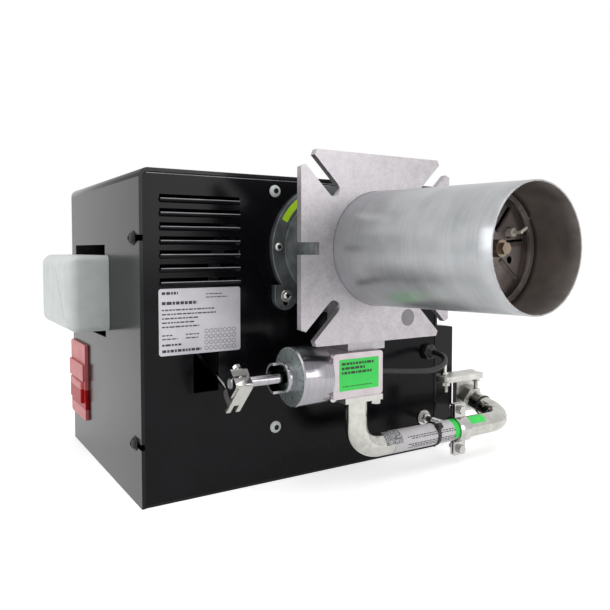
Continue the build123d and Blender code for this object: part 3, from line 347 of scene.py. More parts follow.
def cast(name, dark, pale, rough):
    """Cast skin: clouds of 18 mm and a sandy grain of 1.1 mm."""
    return clouded(name, dark, pale, rough, 18, 1.1, 0.03, (5.0, 4.0), {"Metallic": 0.85})


bright_steel = plated("zinc_plated_steel", "#b2b1af", "#c3c1be")
pipe_steel = plated("bent_pipe_steel", "#b3b2ac", "#c3c2bc")
collar_cast = cast("cast_collar", "#5c6062", "#7b7f80", (0.42, 0.6))
valve_cast = cast("valve_aluminium", "#bab1b5", "#c7bec2", (0.4, 0.5))
inlet_cast = cast("inlet_aluminium", "#b9b8b4", "#d8d7d2", (0.4, 0.55))
head_steel = cast("fired_head_steel", "#7b7472", "#a39b98", (0.28, 0.4))
fired_brass = cast("fired_brass", "#857466", "#a09183", (0.22, 0.35))
print("materials", len(bpy.data.materials))

# %% [markdown]
# The switch box is moulded ABS with a fine spark-eroded skin, 0.7 mm coarse so that it shows. Tie, gland
# and lead are matt nylon, the electrodes glazed porcelain, and the labels paper or foil with a flatter
# grain of 3 mm. Plastics and papers have an IOR of about 1.5, which gives them their plain white sheen.

# %% Plastics, ceramic and labels
SPARK = (0.7, 0.01)
SMOOTH = (3.0, 0.003)


def moulded(name, dark, pale, rough=(0.38, 0.5), skin=SPARK, metal=0.0):
    """Clouds of 25 mm under a skin, which is its grain and depth in millimetres."""
    return clouded(name, dark, pale, rough, 25, *skin, constants={"IOR": 1.5, "Metallic": metal})


switch_grey = moulded("switch_grey_abs", "#c4cac9", "#ced3d2", (0.4, 0.48))
black_nylon = moulded("black_nylon", "#0c0c0d", "#151517", (0.42, 0.55))
plug_grey = moulded("plug_grey", "#827e82", "#8f8b8f")
porcelain = moulded("electrode_porcelain", "#cfc8bc", "#ded8ce", (0.2, 0.3))
foil = moulded("silver_foil", "#c6c3c9", "#d0cdd3", (0.3, 0.42), SMOOTH, 0.25)
ink = moulded("dark_ink", "#2b2b30", "#35353a", (0.5, 0.6))
label_ink = moulded("label_ink", "#1d3d1c", "#244a22", (0.5, 0.6))
green_label = moulded("green_label", "#3be05a", "#45e865", (0.45, 0.55), SMOOTH)
lime_label = moulded("lime_label", "#b5e61e", "#c0ef2c", (0.4, 0.5), SMOOTH)
white_paper = moulded("white_label", "#d3cfd2", "#dcd8db", (0.5, 0.6), SMOOTH)
# Painted highlight: pale grey beads stand for the light caught on rolled edges.
edge_highlight_paint = moulded("painted_highlight_edge", "#8f8f95", "#a8a8ae", (0.2, 0.3))
white_screw = moulded("white_zinc_screw", "#c5cbc9", "#d5dad8", (0.3, 0.42))
# Painted shade for the screw recesses: near-black where little light gets in.
recess_shade_paint = moulded("painted_recess_shade", "#08080a", "#0c0c0e", (0.6, 0.7))
print("materials", len(bpy.data.materials))

# %% [markdown]
# A scratch-off patch on the pipe's label has dark and pale specks of 1.3 mm. It has no clouds, so it
# gets its own three nodes, and a narrow ramp keeps the specks' edges sharp.

# %% Speckled patch


def speckled_paper():
    """Specks of 1.3 mm, split between two greys over a narrow part of the noise."""
    made, tree, shader, place = new_material("speckled_patch")
    speck_cells = add(tree, "ShaderNodeMapping", {"Vector": place, "Scale": cells(1.3)})
    specks = add(tree, "ShaderNodeTexNoise", {"Vector": speck_cells, "Scale": 1.0, "Detail": 1.0})
    plug(tree, shader, {
        "Roughness": 0.6,
        "Base Color": add(tree, "ShaderNodeValToRGB", {"Fac": specks},
                          ramp=((0.42, "#55555a"), (0.56, "#c2c2c4")))})
    return made


speckle = speckled_paper()
print("patch", speckle.name)

# %% [markdown]
# The reset lens is a translucent acrylic moulding, pink where it is thick over the pale housing and deep
# red in the band of its window. True translucency would need light behind it, so the two colours are
# given and switched by height. It is soft with wear, so its mirror layer is weak.

# %% Reset lens acrylic
BAND_MIDDLE = -208.0
BAND_HALF = 13.8


def lens_acrylic():
    """Deep red where the height is within half a band of its middle, and pink clouds elsewhere."""
    made, tree, shader, place = new_material("lens_red_acrylic")
    height = add(tree, "ShaderNodeSeparateXYZ", {"Vector": place}, "Z")
    band = add(tree, "ShaderNodeMath", {0: height, 1: BAND_MIDDLE * MM, 2: BAND_HALF * MM},
               operation="COMPARE")
    cloud_cells = add(tree, "ShaderNodeMapping", {"Vector": place, "Scale": cells(30)})
    cloud = add(tree, "ShaderNodeTexNoise", {"Vector": cloud_cells, "Scale": 1.0, "Detail": 3.0})
    pink = add(tree, "ShaderNodeValToRGB", {"Fac": cloud},
               ramp=((RAMP_LOW, "#c46a6c"), (RAMP_HIGH, "#d07d7e")))
    plug(tree, shader, {
        "Roughness": 0.3,
        "Specular IOR Level": 0.08,
        "Base Color": add(tree, "ShaderNodeMix", {"Factor": band, "A": pink, "B": linear("#a8181c")},
                          "Result", data_type="RGBA"),
        "Normal": add(tree, "ShaderNodeBump", {"Height": cloud, "Strength": 1.0, "Distance": 0.004 * MM})})
    return made


lens_red = lens_acrylic()
print("lens", lens_red.name)

# %% [markdown]
# The CAD pieces keep their shapes and get these finishes. Pressed and cast edges are never quite sharp,
# and catch a line of light. The edges could be rounded in the CAD, at the cost of many faces, so a small
# bevel is added here to the sharp ones alone, after the loose triangles are welded.

# %% Dress the CAD pieces
EDGE_ANGLE = 40
FINISHES = {  # node: material, bevel in millimetres
    "casing_cover": (enamel, 1.2), "front_panel": (panel_enamel, 0.25),
    "base_plate": (enamel, 0.4), "side_enclosure": (enamel, 1.5),
    "servo_motor": (black_nylon, 0.5), "fan_scroll": (zinc_sheet, 0),
    "head_housing": (collar_cast, 0.8), "mounting_flange": (zinc_sheet, 0.5),
    "flange_plug": (plug_grey, 0.3), "blast_tube": (tube_steel, 0.3),
    "diffuser_ring": (head_steel, 0.2), "diffuser_disc": (head_steel, 0.2),
    "gas_head": (fired_brass, 0.3), "gas_tube": (zinc_small, 0), "neck_block": (zinc_sheet, 0.6),
    "valve_body": (valve_cast, 0.6), "valve_drum": (ground_steel, 0.4),
    "stop_collar": (ground_steel, 0.3), "valve_shaft": (ground_steel, 0.3),
    "butterfly_disc": (bright_steel, 0), "lever_clamp": (bright_steel, 0.7),
    "clamp_screw": (bright_steel, 0.3), "lever_arm": (zinc_small, 0.4),
    "linkage_rod": (bright_steel, 0), "servo_crank": (zinc_small, 0),
    "pipe_flange": (zinc_small, 0.6), "gas_pipe": (pipe_steel, 0), "union_nut": (zinc_small, 0.6),
    "inlet_flange": (inlet_cast, 0.8), "test_nipple": (bright_steel, 0.4),
    "pipe_clamp_front": (bright_steel, 0.4), "pipe_clamp_back": (bright_steel, 0.4),
    "clamp_stud": (bright_steel, 0.4), "cable_tie": (black_nylon, 0.3),
    "cable_gland": (black_nylon, 0.5), "lead_plug": (black_nylon, 0.3),
    "pressure_switch": (switch_grey, 0), "switch_bracket": (zinc_sheet, 0),
    "reset_lens": (lens_red, 0.5), "reset_button": (lens_red, 0.4),
    "control_box": (black_nylon, 0.5), "fan_wheel": (zinc_sheet, 0),
    "motor_shaft": (bright_steel, 0), "fan_motor": (inlet_cast, 0),
    **{f"flange_bolt_{number}": (bright_steel, 0.5) for number in (1, 2)},
    **{f"clamp_bolt_{number}": (bright_steel, 0.4) for number in (1, 2)},
    **{f"inlet_bolt_{number}": (bright_steel, 0.4) for number in (1, 2)},
    **{f"electrode_{number}": (porcelain, 0) for number in (1, 2, 3)},
}


def dress(node, material, bevel_mm):
    """Gives a CAD node its material, and a small bevel on its sharp edges."""
    piece = nodes[node]
    piece.data.materials.clear()
    piece.data.materials.append(material)
    if bevel_mm:
        weld = piece.modifiers.new("weld", "WELD")
        weld.merge_threshold = 0.00001
        bevel = piece.modifiers.new("edge_light", "BEVEL")
        bevel.width = bevel_mm * MM
        bevel.segments = 2
        bevel.limit_method = "ANGLE"
        bevel.angle_limit = radians(EDGE_ANGLE)
        bevel.harden_normals = True


for node, (material, bevel_mm) in FINISHES.items():
    dress(node, material, bevel_mm)
print("dressed", len(FINISHES), "of", len(nodes), "CAD nodes")

# %% [markdown]
# Every new piece goes through one function. It makes the mesh from points and faces, merges its doubles and
# turns its faces outwards, and says which CAD body carries it.
# The shapes themselves are grids of points, and one more function joins neighbouring points with quads.

# %% Mesh helpers
SMOOTH_ANGLE = 35


def new_piece(name, points, faces, material, body="burner", slot="steel_bright", smooth=True):
    """Mesh from points in millimetres and faces as index rows."""
    mesh = bpy.data.meshes.new(name)
    mesh.from_pydata((np.asarray(points) * MM).tolist(), [], [list(map(int, f)) for f in faces])
    mesh.materials.append(material)
    bm = bmesh.new()
    bm.from_mesh(mesh)
    bmesh.ops.remove_doubles(bm, verts=bm.verts, dist=1e-7)
    bmesh.ops.recalc_face_normals(bm, faces=bm.faces)
    bm.to_mesh(mesh)
    bm.free()
    mesh.polygons.foreach_set("use_smooth", [smooth] * len(mesh.polygons))
    piece = bpy.data.objects.new(name, mesh)
    bpy.context.scene.collection.objects.link(piece)
    if smooth:
        mesh.set_sharp_from_angle(angle=radians(SMOOTH_ANGLE))
    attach(piece, body)
    return piece


def grid_faces(rows, columns, wrap_rows=False, wrap_columns=False):
    """Quads between neighbouring rows and columns of a grid."""
    i = np.arange(rows if wrap_rows else rows - 1)
    j = np.arange(columns if wrap_columns else columns - 1)
    i, j = np.meshgrid(i, j, indexing="ij")
    a = i * columns + j
    b = i * columns + (j + 1) % columns
    c = ((i + 1) % rows) * columns + (j + 1) % columns
    d = ((i + 1) % rows) * columns + j
    return np.stack([a, b, c, d], -1).reshape(-1, 4)


def axes_for(normal):
    """Two directions square to a normal, across and up, and the normal of length 1."""
    normal = np.asarray(normal, float) / np.linalg.norm(normal)
    up = np.array([0.0, 0.0, 1.0]) if abs(normal[2]) < 0.9 else np.array([0.0, 1.0, 0.0])
    across = np.cross(up, normal)
    across /= np.linalg.norm(across)
    return across, np.cross(normal, across), normal


print("a ring of 3 by 4 points has", len(grid_faces(3, 4, wrap_columns=True)), "quads")

# %% [markdown]
# The valve's lead is a short black cable. It leaves its gland on the panel, drops, and curls back behind
# the valve into its plug. It is held at both ends, so it hangs in a shallow arc. It could be swept in
# mesh code, but a NURBS curve of order 3 over a few points bends as smoothly as a real cable and stays
# easy to move.

# %% Valve lead
LEAD_ROUTE = [(173, 98, -143), (173, 80, -143), (162, 64, -151), (138, 57, -157), (109, 58, -156),
              (79, 60, -153), (52, 62, -150), (28, 62, -150)]
LEAD_DIAMETER = 7.0


def valve_lead():
    """NURBS curve through the route, with a round bevel of the lead's diameter."""
    curve = bpy.data.curves.new("valve_lead_cable", "CURVE")
    curve.dimensions = "3D"
    spline = curve.splines.new("NURBS")
    spline.points.add(len(LEAD_ROUTE) - 1)
    for point, place in zip(spline.points, LEAD_ROUTE):
        point.co = (*[c * MM for c in place], 1)
    spline.order_u = 3
    spline.use_endpoint_u = True
    spline.resolution_u = 12
    curve.bevel_depth = LEAD_DIAMETER / 2 * MM
    curve.bevel_resolution = 6
    curve.use_fill_caps = True
    curve.materials.append(black_nylon)
    cable = bpy.data.objects.new("valve_lead_cable", curve)
    bpy.context.scene.collection.objects.link(cable)
    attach(cable, "burner")
    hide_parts("valve_lead")


valve_lead()

# %% [markdown]
# Screw heads and washers are turned parts, so a profile of radius and height is swept round an axis. The
# driver recess is not round: its radius is waved by six lobes, which one more column in the profile
# turns on. A boolean cut would give the same shape with untidy faces.

# %% Turned shapes
LOBES = 6


def turned(name, profile, centre, normal, material, sides=32, star=0.0, **place):
    """Profile (radius, height, waved) about an axis: p = c + r(a) (cos a u + sin a v) + h n,
    where r(a) is r (1 + star cos(lobes a)) on rows whose third value is above 0."""
    u, v, n = axes_for(normal)
    profile = np.asarray(profile, float)
    angle = np.linspace(0, 2 * np.pi, sides, endpoint=False)
    waved = profile[:, 2:3] > 0 if profile.shape[1] > 2 else np.zeros((len(profile), 1), bool)
    r = profile[:, 0:1] * np.where(waved, 1 + star * np.cos(LOBES * angle), 1.0)
    ring = np.cos(angle)[:, None] * u + np.sin(angle)[:, None] * v
    points = np.asarray(centre) + r[..., None] * ring + profile[:, 1, None, None] * n
    faces = grid_faces(len(profile), sides, wrap_columns=True).tolist()
    return new_piece(name, points.reshape(-1, 3), faces, material, **place)


def washer(name, centre, normal, inner, outer, thick, material, **place):
    """Flat ring with eased edges."""
    ease = thick * 0.25
    profile = [[inner, 0], [outer, 0], [outer, thick - ease], [outer - ease, thick], [inner, thick],
               [inner, 0]]
    return turned(name, profile, centre, normal, material, sides=40, **place)


print("turned shapes have a driver recess of", LOBES, "lobes")

# %% [markdown]
# A button head is the cap of a ball with a recess in its top. Its recess gets painted shade, because little
# light gets in: its faces get a second, near-black material, chosen by their distance from the axis.

# %% Button-head screw
RECESS = 0.45
RECESS_DEPTH = 0.55
CAP_START = 0.35
LOBE_DEPTH = 0.12


def dome_screw(name, centre, normal, radius, height, material, **place):
    """Cap: r = R (s + (1 - s) t), h = H sqrt(1.12 - (0.35 + 0.65 t)^2), for t from 0 to 1."""
    t = np.linspace(0, 1, 7)
    arc = CAP_START + (1 - CAP_START) * t
    cap = np.stack([radius * (RECESS + (1 - RECESS) * t), height * np.sqrt(1 - arc ** 2 + 0.12), t * 0], -1)
    cap[-1, 1] = height * 0.25
    top = cap[0, 1]
    inner = radius * RECESS
    floor = top - height * RECESS_DEPTH
    recess = [[0, floor, 0], [inner * 0.8, floor, 1], [inner * 0.85, top, 1]]
    profile = np.vstack([recess, cap, [[radius, 0, 0], [0, 0, 0]]])
    screw = turned(name, profile, centre, normal, material, sides=48, star=LOBE_DEPTH, **place)
    darken_recess(screw, centre, axes_for(normal)[2], inner * 0.98, height * 0.06)
    return screw


def darken_recess(screw, centre, n, inner, above):
    """Painted shade: a second, near-black material on faces whose centre is near the axis and above the
    seat.
    """
    mesh = screw.data
    mesh.materials.append(recess_shade_paint)
    middles = np.zeros(len(mesh.polygons) * 3)
    mesh.polygons.foreach_get("center", middles)
    away = middles.reshape(-1, 3) / MM - np.asarray(centre, float)
    rise = away @ n
    reach = np.linalg.norm(away - rise[:, None] * n, axis=1)
    mesh.polygons.foreach_set("material_index", ((reach < inner) & (rise > above)).astype(int))


print("recess takes", RECESS, "of a head's radius")

# %% [markdown]
# The panel is held by white-plated button screws. The cover hangs on black screws over washers, in open
# slots near its front edge, on both sides: loosened, it slides off. The places of the slots come from
# the cover's box, so the screws stay in them.

# %% Panel and cover screws
PANEL_SCREW_X = -70
PANEL_SCREW_Z = (68.0, -214.0)
COVER_SLOT_IN = 22
COVER_SLOT_Z = (11.5, -213.0)
for number, z in enumerate(PANEL_SCREW_Z, 1):
    dome_screw(f"panel_screw_{number}", (PANEL_SCREW_X, panel_face, z), (0, -1, 0), 7.2, 3.4, white_screw)
slot_y = cover_low[1] + COVER_SLOT_IN
for side, wall, word in ((-1, cover_low[0], "left"), (1, cover_high[0], "right")):
    for number, z in enumerate(COVER_SLOT_Z, 1):
        washer(f"cover_washer_{word}_{number}", (wall, slot_y, z), (side, 0, 0), 3.0, 8.0, 1.2,
               black_nylon, slot="black_plastic")
        dome_screw(f"cover_screw_{word}_{number}", (wall + side * 1.2, slot_y, z), (side, 0, 0), 6.0, 4.0,
                   black_nylon, slot="black_plastic")
print("cover slots at", round(slot_y, 1), "mm behind the boiler face")

# %% [markdown]
# Plates and labels are flat outlines given a thickness. Their print could be an image, but a mesh of thin
# bars stays sharp. The print is generic: rows of short bars of uneven length, with gaps, and no words.

# %% Flat plates and print
BOX_FACES = np.array([[0, 1, 2, 3], [4, 5, 6, 7], [0, 1, 5, 4], [1, 2, 6, 5], [2, 3, 7, 6], [3, 0, 4, 7]])
UNIT_CORNERS = np.array([[0, 0], [1, 0], [1, 1], [0, 1]], float)
WORD_GAP = 1.0


def flat_plate(name, outline, centre, normal, thick, material, **place):
    """Outline (x, y) across the normal: p = c + x u + y v, and again raised by the thickness."""
    u, v, n = axes_for(normal)
    outline = np.asarray(outline, float)
    flat = np.asarray(centre) + outline[:, :1] * u + outline[:, 1:] * v
    count = len(outline)
    i = np.arange(count)
    j = (i + 1) % count
    points = np.vstack([flat, flat + thick * n])
    walls = np.stack([i, j, count + j, count + i], -1).tolist()
    faces = [i.tolist(), (count + i).tolist()] + walls
    return new_piece(name, points, faces, material, smooth=False, **place)


def rounded(width, height, radius):
    """Rectangle with rounded corners, centred: p = corner + r (cos a, sin a), a quarter turn each."""
    angle = np.linspace(0, 2 * np.pi, 24, endpoint=False) + np.pi / 24
    unit = np.stack([np.cos(angle), np.sin(angle)], -1)
    return np.sign(unit) * (np.array([width, height]) / 2 - radius) + radius * unit


def box_rows(count):
    """Faces of many boxes of eight points each, one after another."""
    return (np.arange(count)[:, None, None] * 8 + BOX_FACES[None]).reshape(-1, 4)


def bars(name, rects, centre, normal, thick, material):
    """Printed bars as one piece: each is x, y, width, height across the plate."""
    u, v, n = axes_for(normal)
    rects = np.asarray(rects, float)
    flat = rects[:, None, :2] + UNIT_CORNERS[None] * rects[:, None, 2:]
    low = np.asarray(centre) + flat[..., :1] * u + flat[..., 1:] * v
    points = np.concatenate([low, low + thick * n], 1).reshape(-1, 3)
    return new_piece(name, points, box_rows(len(rects)), material, slot="black_plastic", smooth=False)


def word_rows(rng, x, y, width, rows, pitch, height):
    """Generic rows of print: short bars of uneven length with gaps, from the top down."""
    out = []
    for row in range(rows):
        at = 0.0
        end = width * rng.uniform(0.55, 1.0)
        while at < end:
            step = rng.uniform(2.0, 6.0)
            out.append([x + at, y - row * pitch, min(step, end - at), height])
            at += step + WORD_GAP
    return out


print("a box has", len(BOX_FACES), "faces")

# %% [markdown]
# The rating plate is a silver foil with rounded corners, stuck to the panel below the louvres. Beside
# its rows of print it carries a block of small printed rings. Each ring is a flat band of 16 quads, and
# all of them are one mesh.

# %% Rating plate
PLATE_CENTRE = (-165.0, panel_face, -80.0)
PLATE_THICK = 0.8
PRINT_THICK = 0.08
PLATE_ROWS = (  # left, top, width, rows, pitch, height
    (-45, 30, 30, 1, 5, 3.0), (6, 29, 34, 2, 3.6, 1.0), (-45, 19, 44, 1, 5, 3.4),
    (-45, 12.5, 66, 5, 4.6, 1.5), (-45, -15, 20, 2, 4.0, 1.3), (-18, -15, 16, 2, 4.0, 1.3),
    (-45, -26, 32, 1, 5, 2.2), (-45, -33, 48, 1, 5, 3.0))
RING_SIDES = 16
RING_GRID = [(6.5 + column * 5.6, -12 - line * 6.4) for line in range(4) for column in range(7)]


def print_rings(name, middles, inner, outer, centre, normal):
    """Printed circles as one piece: each is a ring of quads, p = m + r (cos a, sin a)."""
    u, v, n = axes_for(normal)
    angle = np.linspace(0, 2 * np.pi, RING_SIDES, endpoint=False)
    unit = np.stack([np.cos(angle), np.sin(angle)], -1)
    radii = np.array([inner, outer])[:, None, None]
    flat = np.asarray(middles, float)[:, None, None] + radii * unit
    points = np.asarray(centre) + flat[..., :1] * u + flat[..., 1:] * v + 0.09 * n
    one = grid_faces(2, RING_SIDES, wrap_columns=True)
    faces = (np.arange(len(middles))[:, None, None] * 2 * RING_SIDES + one[None]).reshape(-1, 4)
    return new_piece(name, points.reshape(-1, 3), faces, ink, slot="black_plastic", smooth=False)


def rating_plate():
    """Foil, then the rings and the bars on its face."""
    rng = np.random.default_rng(11)
    flat_plate("rating_plate", rounded(97, 73, 3), PLATE_CENTRE, (0, -1, 0), PLATE_THICK, foil,
               slot="cast_aluminium")
    print_at = np.array(PLATE_CENTRE) - [0, PLATE_THICK, 0]
    rects = [rect for row in PLATE_ROWS for rect in word_rows(rng, *row)]
    print_rings("rating_plate_rings", RING_GRID, 1.9, 2.4, print_at, (0, -1, 0))
    bars("rating_plate_print", rects, print_at, (0, -1, 0), PRINT_THICK, ink)
    return len(rects)


print("bars on the plate", rating_plate())

# %% [markdown]
# The valve carries a bright green check label, and the collar a lime one that follows its rim. Both are
# paper stuck to the metal. The first is a rounded rectangle, the second a sector of a ring, drawn as an
# outline out along one arc and back along the other.

# %% Labels on the valve and the collar
VALVE_ROWS = ((-24, 11, 48, 3, 5.0, 2.9), (-23, -13, 44, 1, 3, 0.9))
PAPER = 0.2
RIM_OUTER = 74
RIM_INNER = 66
RIM_ARC = (118, 152)


def valve_label():
    """Green label a millimetre right of and above the valve's middle, with its rows of print."""
    rng = np.random.default_rng(5)
    middle = (valve_low + valve_high) / 2
    centre = np.array([middle[0] + 1, valve_low[1], middle[2] + 1])
    flat_plate("valve_label", rounded(54, 35, 1.0), centre, (0, -1, 0), PAPER, green_label,
               slot="grey_plastic")
    rects = [rect for row in VALVE_ROWS for rect in word_rows(rng, *row)]
    bars("valve_label_print", rects, centre - [0, PAPER, 0], (0, -1, 0), 0.06, label_ink)
    return len(rects)


def collar_label():
    """Sector of a ring: p = (r cos a, r sin a), out along one arc and back along the other."""
    angle = np.radians(np.linspace(*RIM_ARC, 18))
    outer = RIM_OUTER * np.stack([np.cos(angle), np.sin(angle)], -1)
    inner = RIM_INNER * np.stack([np.cos(angle[::-1]), np.sin(angle[::-1])], -1)
    flat_plate("collar_label", np.vstack([outer, inner]), (0, collar_face, 0), (0, -1, 0), 0.25,
               lime_label, slot="grey_plastic")


print("bars on the valve's label", valve_label())
collar_label()

# %% [markdown]
# The drum's end face is divided like a dial: thirty ticks, every third one long, and a number at each
# long one. They were cut and filled with black. The ticks are thin boxes placed by angle, all in one
# mesh, and stand a few hundredths of a millimetre proud, which is enough to show.

# %% Drum scale
TICKS = 30
TICK_OUTER = 30.5
TICK_SHORT = 28.0
TICK_LONG = 25.5
TICK_HALF = 0.35
scale_centre = np.array([drum_low[0], *shaft_axis])
scale_axes = axes_for((-1, 0, 0))


def drum_scale():
    """Boxes between two radii: p = c + r (cos a u + sin a v) +- w (-sin a u + cos a v)."""
    u, v, n = scale_axes
    a = (2 * np.pi * np.arange(TICKS) / TICKS)[:, None]
    radial = np.cos(a) * u + np.sin(a) * v
    around = TICK_HALF * (-np.sin(a) * u + np.cos(a) * v)
    r0 = np.where(np.arange(TICKS) % 3 == 0, TICK_LONG, TICK_SHORT)[:, None] * radial
    r1 = TICK_OUTER * radial
    quad = scale_centre + np.stack([r0 - around, r0 + around, r1 + around, r1 - around], 1)
    points = np.concatenate([quad + 0.01 * n, quad + 0.08 * n], 1)
    return new_piece("drum_scale_ticks", points.reshape(-1, 3), box_rows(TICKS), ink, smooth=False)


drum_scale()
print("ticks", TICKS)

# %% [markdown]
# The numbers are Blender's own text, made a mesh before it is placed. Each number's foot points at the
# dial's centre.

# %% Dial numbers
NUMBER_RADIUS = 22.4
NUMBER_SIZE = 5.5


def dial_number(text, angle):
    """A number as a mesh, turned so that its up is the radius and its front the face's normal."""
    curve = bpy.data.curves.new(f"dial_{text}", "FONT")
    curve.body = text
    curve.size = NUMBER_SIZE * MM
    curve.extrude = 0.04 * MM
    curve.align_x = "CENTER"
    curve.align_y = "CENTER"
    maker = bpy.data.objects.new(f"dial_maker_{text}", curve)
    mesh = bpy.data.meshes.new_from_object(maker)
    bpy.data.objects.remove(maker)
    u, v, n = scale_axes
    radial = np.cos(angle) * u + np.sin(angle) * v
    place = Matrix(np.column_stack([np.cross(radial, n), radial, n]).tolist()).to_4x4()
    place.translation = Vector(((scale_centre + NUMBER_RADIUS * radial + 0.06 * n) * MM).tolist())
    mesh.transform(place)
    mesh.materials.clear()
    mesh.materials.append(ink)
    piece = bpy.data.objects.new(f"dial_number_{text}", mesh)
    bpy.context.scene.collection.objects.link(piece)
    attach(piece, "burner")


for step in range(10):
    dial_number(str(step), 2 * np.pi * step / 10)
print("numbers 0 to 9")

# %% [markdown]
# Paper labels wrap part of the gas pipe. A wrap is an arc of a cylinder a little wider than the pipe,
# with an inner and an outer skin, so that it is a closed sheet and not one that shows its back. The
# pipe's axis is found from its box.

# %% Pipe labels
PIPE_RADIUS = 13.45
pipe_y = pipe_low[1] + PIPE_RADIUS
pipe_z = pipe_low[2] + PIPE_RADIUS
WRAP_SKIN = 0.08


def pipe_wrap(name, x0, x1, start, end, lift, material):
    """p = (x, y + r cos a, z + r sin a), on a ring of four rows: inner skin there, outer back."""
    angle = np.radians(np.linspace(start, end, max(4, int(abs(end - start) / 8))))
    count = len(angle)
    x = np.array([x0, x1, x1, x0])[:, None] + 0 * angle
    r = PIPE_RADIUS + lift - WRAP_SKIN * np.array([1, 1, 0, 0])[:, None]
    rows = np.stack([x, pipe_y + r * np.cos(angle), pipe_z + r * np.sin(angle)], -1)
    ends = np.arange(4) * count
    faces = grid_faces(4, count, wrap_rows=True).tolist() + [ends.tolist(), (ends + count - 1).tolist()]
    return new_piece(name, rows.reshape(-1, 3), faces, material, slot="grey_plastic")


pipe_wrap("pipe_label", 50, 150, 80, 290, 0.3, white_paper)
pipe_wrap("pipe_label_patch", 37, 62, 90, 175, 0.45, speckle)
pipe_wrap("pipe_green_label_left", 148, 156.4, 60, 215, 0.34, green_label)
pipe_wrap("pipe_green_label_right", 176, 206, 95, 150, 0.3, green_label)
print("pipe axis", round(pipe_y, 1), round(pipe_z, 1))

# %% [markdown]
# The print on the pipe's label has to follow its curve. Each bar is a box whose corners are given by a
# place along the pipe and an angle round it.

# %% Print on the pipe
PRINT_ANGLES = (150, 160, 188, 198, 208)
PRINT_END = 146
PRINT_HIGH = 5


def pipe_print(rng):
    """Bars as boxes round the cylinder: p = (x, y + r cos a, z + r sin a), at two radii."""
    marks = []
    for row, angle in enumerate(PRINT_ANGLES):
        x = 70.0 + 6 * (row % 2)
        while x < PRINT_END:
            step = rng.uniform(2.0, 5.0)
            marks.append([x, step, angle])
            x += step + 1.2
    marks = np.array(marks)
    x = (marks[:, :1] + UNIT_CORNERS[:, 0] * marks[:, 1:2])[:, None, :]
    a = np.radians(marks[:, 2:] + PRINT_HIGH * UNIT_CORNERS[:, 1])[:, None, :]
    r = PIPE_RADIUS + np.array([0.3, 0.36])[None, :, None]
    points = np.stack([x + 0 * r, pipe_y + r * np.cos(a), pipe_z + r * np.sin(a)], -1)
    new_piece("pipe_label_print", points.reshape(-1, 3), box_rows(len(marks)), ink, slot="black_plastic",
              smooth=False)
    return len(marks)


print("bars on the pipe", pipe_print(np.random.default_rng(3)))

# %% [markdown]
# Threads show on the stud of the pipe clamp and on the ends of the bolts. A true helix could be swept,
# but a grid of angle and height, whose radius rises and falls with the phase of the turn, gives the same
# ridges on one closed mesh.

# %% Threads
THREAD_SIDES = 24
ROWS_PER_TURN = 6
THREAD_DEPTH = 0.35
BOLT_RADIUS = 2.9
BOLT_PITCH = 1.2


def thread(name, start, direction, radius, length, pitch):
    """r = R + d (1 - 2 |phase - 0.5|), where the phase is h / pitch - a / 2 pi within one turn."""
    u, v, n = axes_for(direction)
    rows = max(8, int(length / pitch * ROWS_PER_TURN))
    angle = np.linspace(0, 2 * np.pi, THREAD_SIDES, endpoint=False)
    height = np.linspace(0, length, rows)
    phase = (height[:, None] / pitch - angle[None, :] / (2 * np.pi)) % 1
    r = radius + THREAD_DEPTH * pitch * (1 - 2 * np.abs(phase - 0.5))
    r[0] = radius * 0.9
    r[-1] = radius * 0.85
    ring = np.cos(angle)[:, None] * u + np.sin(angle)[:, None] * v
    points = np.asarray(start) + r[..., None] * ring[None] + height[:, None, None] * n
    caps = [list(range(THREAD_SIDES)), list(range((rows - 1) * THREAD_SIDES, rows * THREAD_SIDES))]
    faces = grid_faces(rows, THREAD_SIDES, wrap_columns=True).tolist() + caps
    return new_piece(name, points.reshape(-1, 3), faces, bright_steel)


stud_low, stud_high = box_mm("clamp_stud")
thread("stud_thread", (166.0, stud_low[1] + 0.2, pipe_z), (0, 1, 0), 4.0, 30, 1.6)
for number in (1, 2):
    low, high = box_mm(f"clamp_bolt_{number}")
    x, y, z = (low + high) / 2
    thread(f"clamp_bolt_thread_{number}", (x, high[1] - 4.2, z), (0, 1, 0), BOLT_RADIUS, 4.6, BOLT_PITCH)
    low, high = box_mm(f"inlet_bolt_{number}")
    x, y, z = (low + high) / 2
    thread(f"inlet_bolt_thread_{number}", (x, y, low[2] - 0.2), (0, 0, 1), BOLT_RADIUS, 9.2, BOLT_PITCH)
print("threads", 5)

# %% [markdown]
# Small button screws hold the collar, its ear and the valve's cap. They are the same turned shape as the
# panel's screws, in smaller sizes.

# %% Collar and valve screws
EAR = (-60, -56)
EAR_WASHER = 1.4
dome_screw("collar_screw", (-70, collar_face, 2), (0, -1, 0), 5.0, 2.6, zinc_small)
washer("ear_washer", (EAR[0], collar_face, EAR[1]), (0, -1, 0), 3.2, 7.0, EAR_WASHER, zinc_small)
dome_screw("ear_screw", (EAR[0], collar_face - EAR_WASHER, EAR[1]), (0, -1, 0), 5.0, 3.4, bright_steel)
dome_screw("valve_side_screw", (valve_low[0] + 5, valve_low[1] + 8, valve_low[2]), (0, 0, -1), 4.2, 4.0,
           bright_steel)
print("collar face at", round(collar_face, 1))

# %% [markdown]
# Each louvre's lip ends in a rolled edge, and so does the top of the panel. They catch the light as thin
# bright lines, so each gets a painted highlight: a pale grey bead. A bevel on the CAD piece would round all
# its edges alike, so each line is a bead of its own: a circle of ten sides carried along X.

# %% Rolled edges
BEAD_SIDES = 10
LOUVRES = 7
LOUVRE_PITCH = 15.1
LOUVRE_FIRST_Z = -36.6
LOUVRE_X = (-211.0, -117.0)


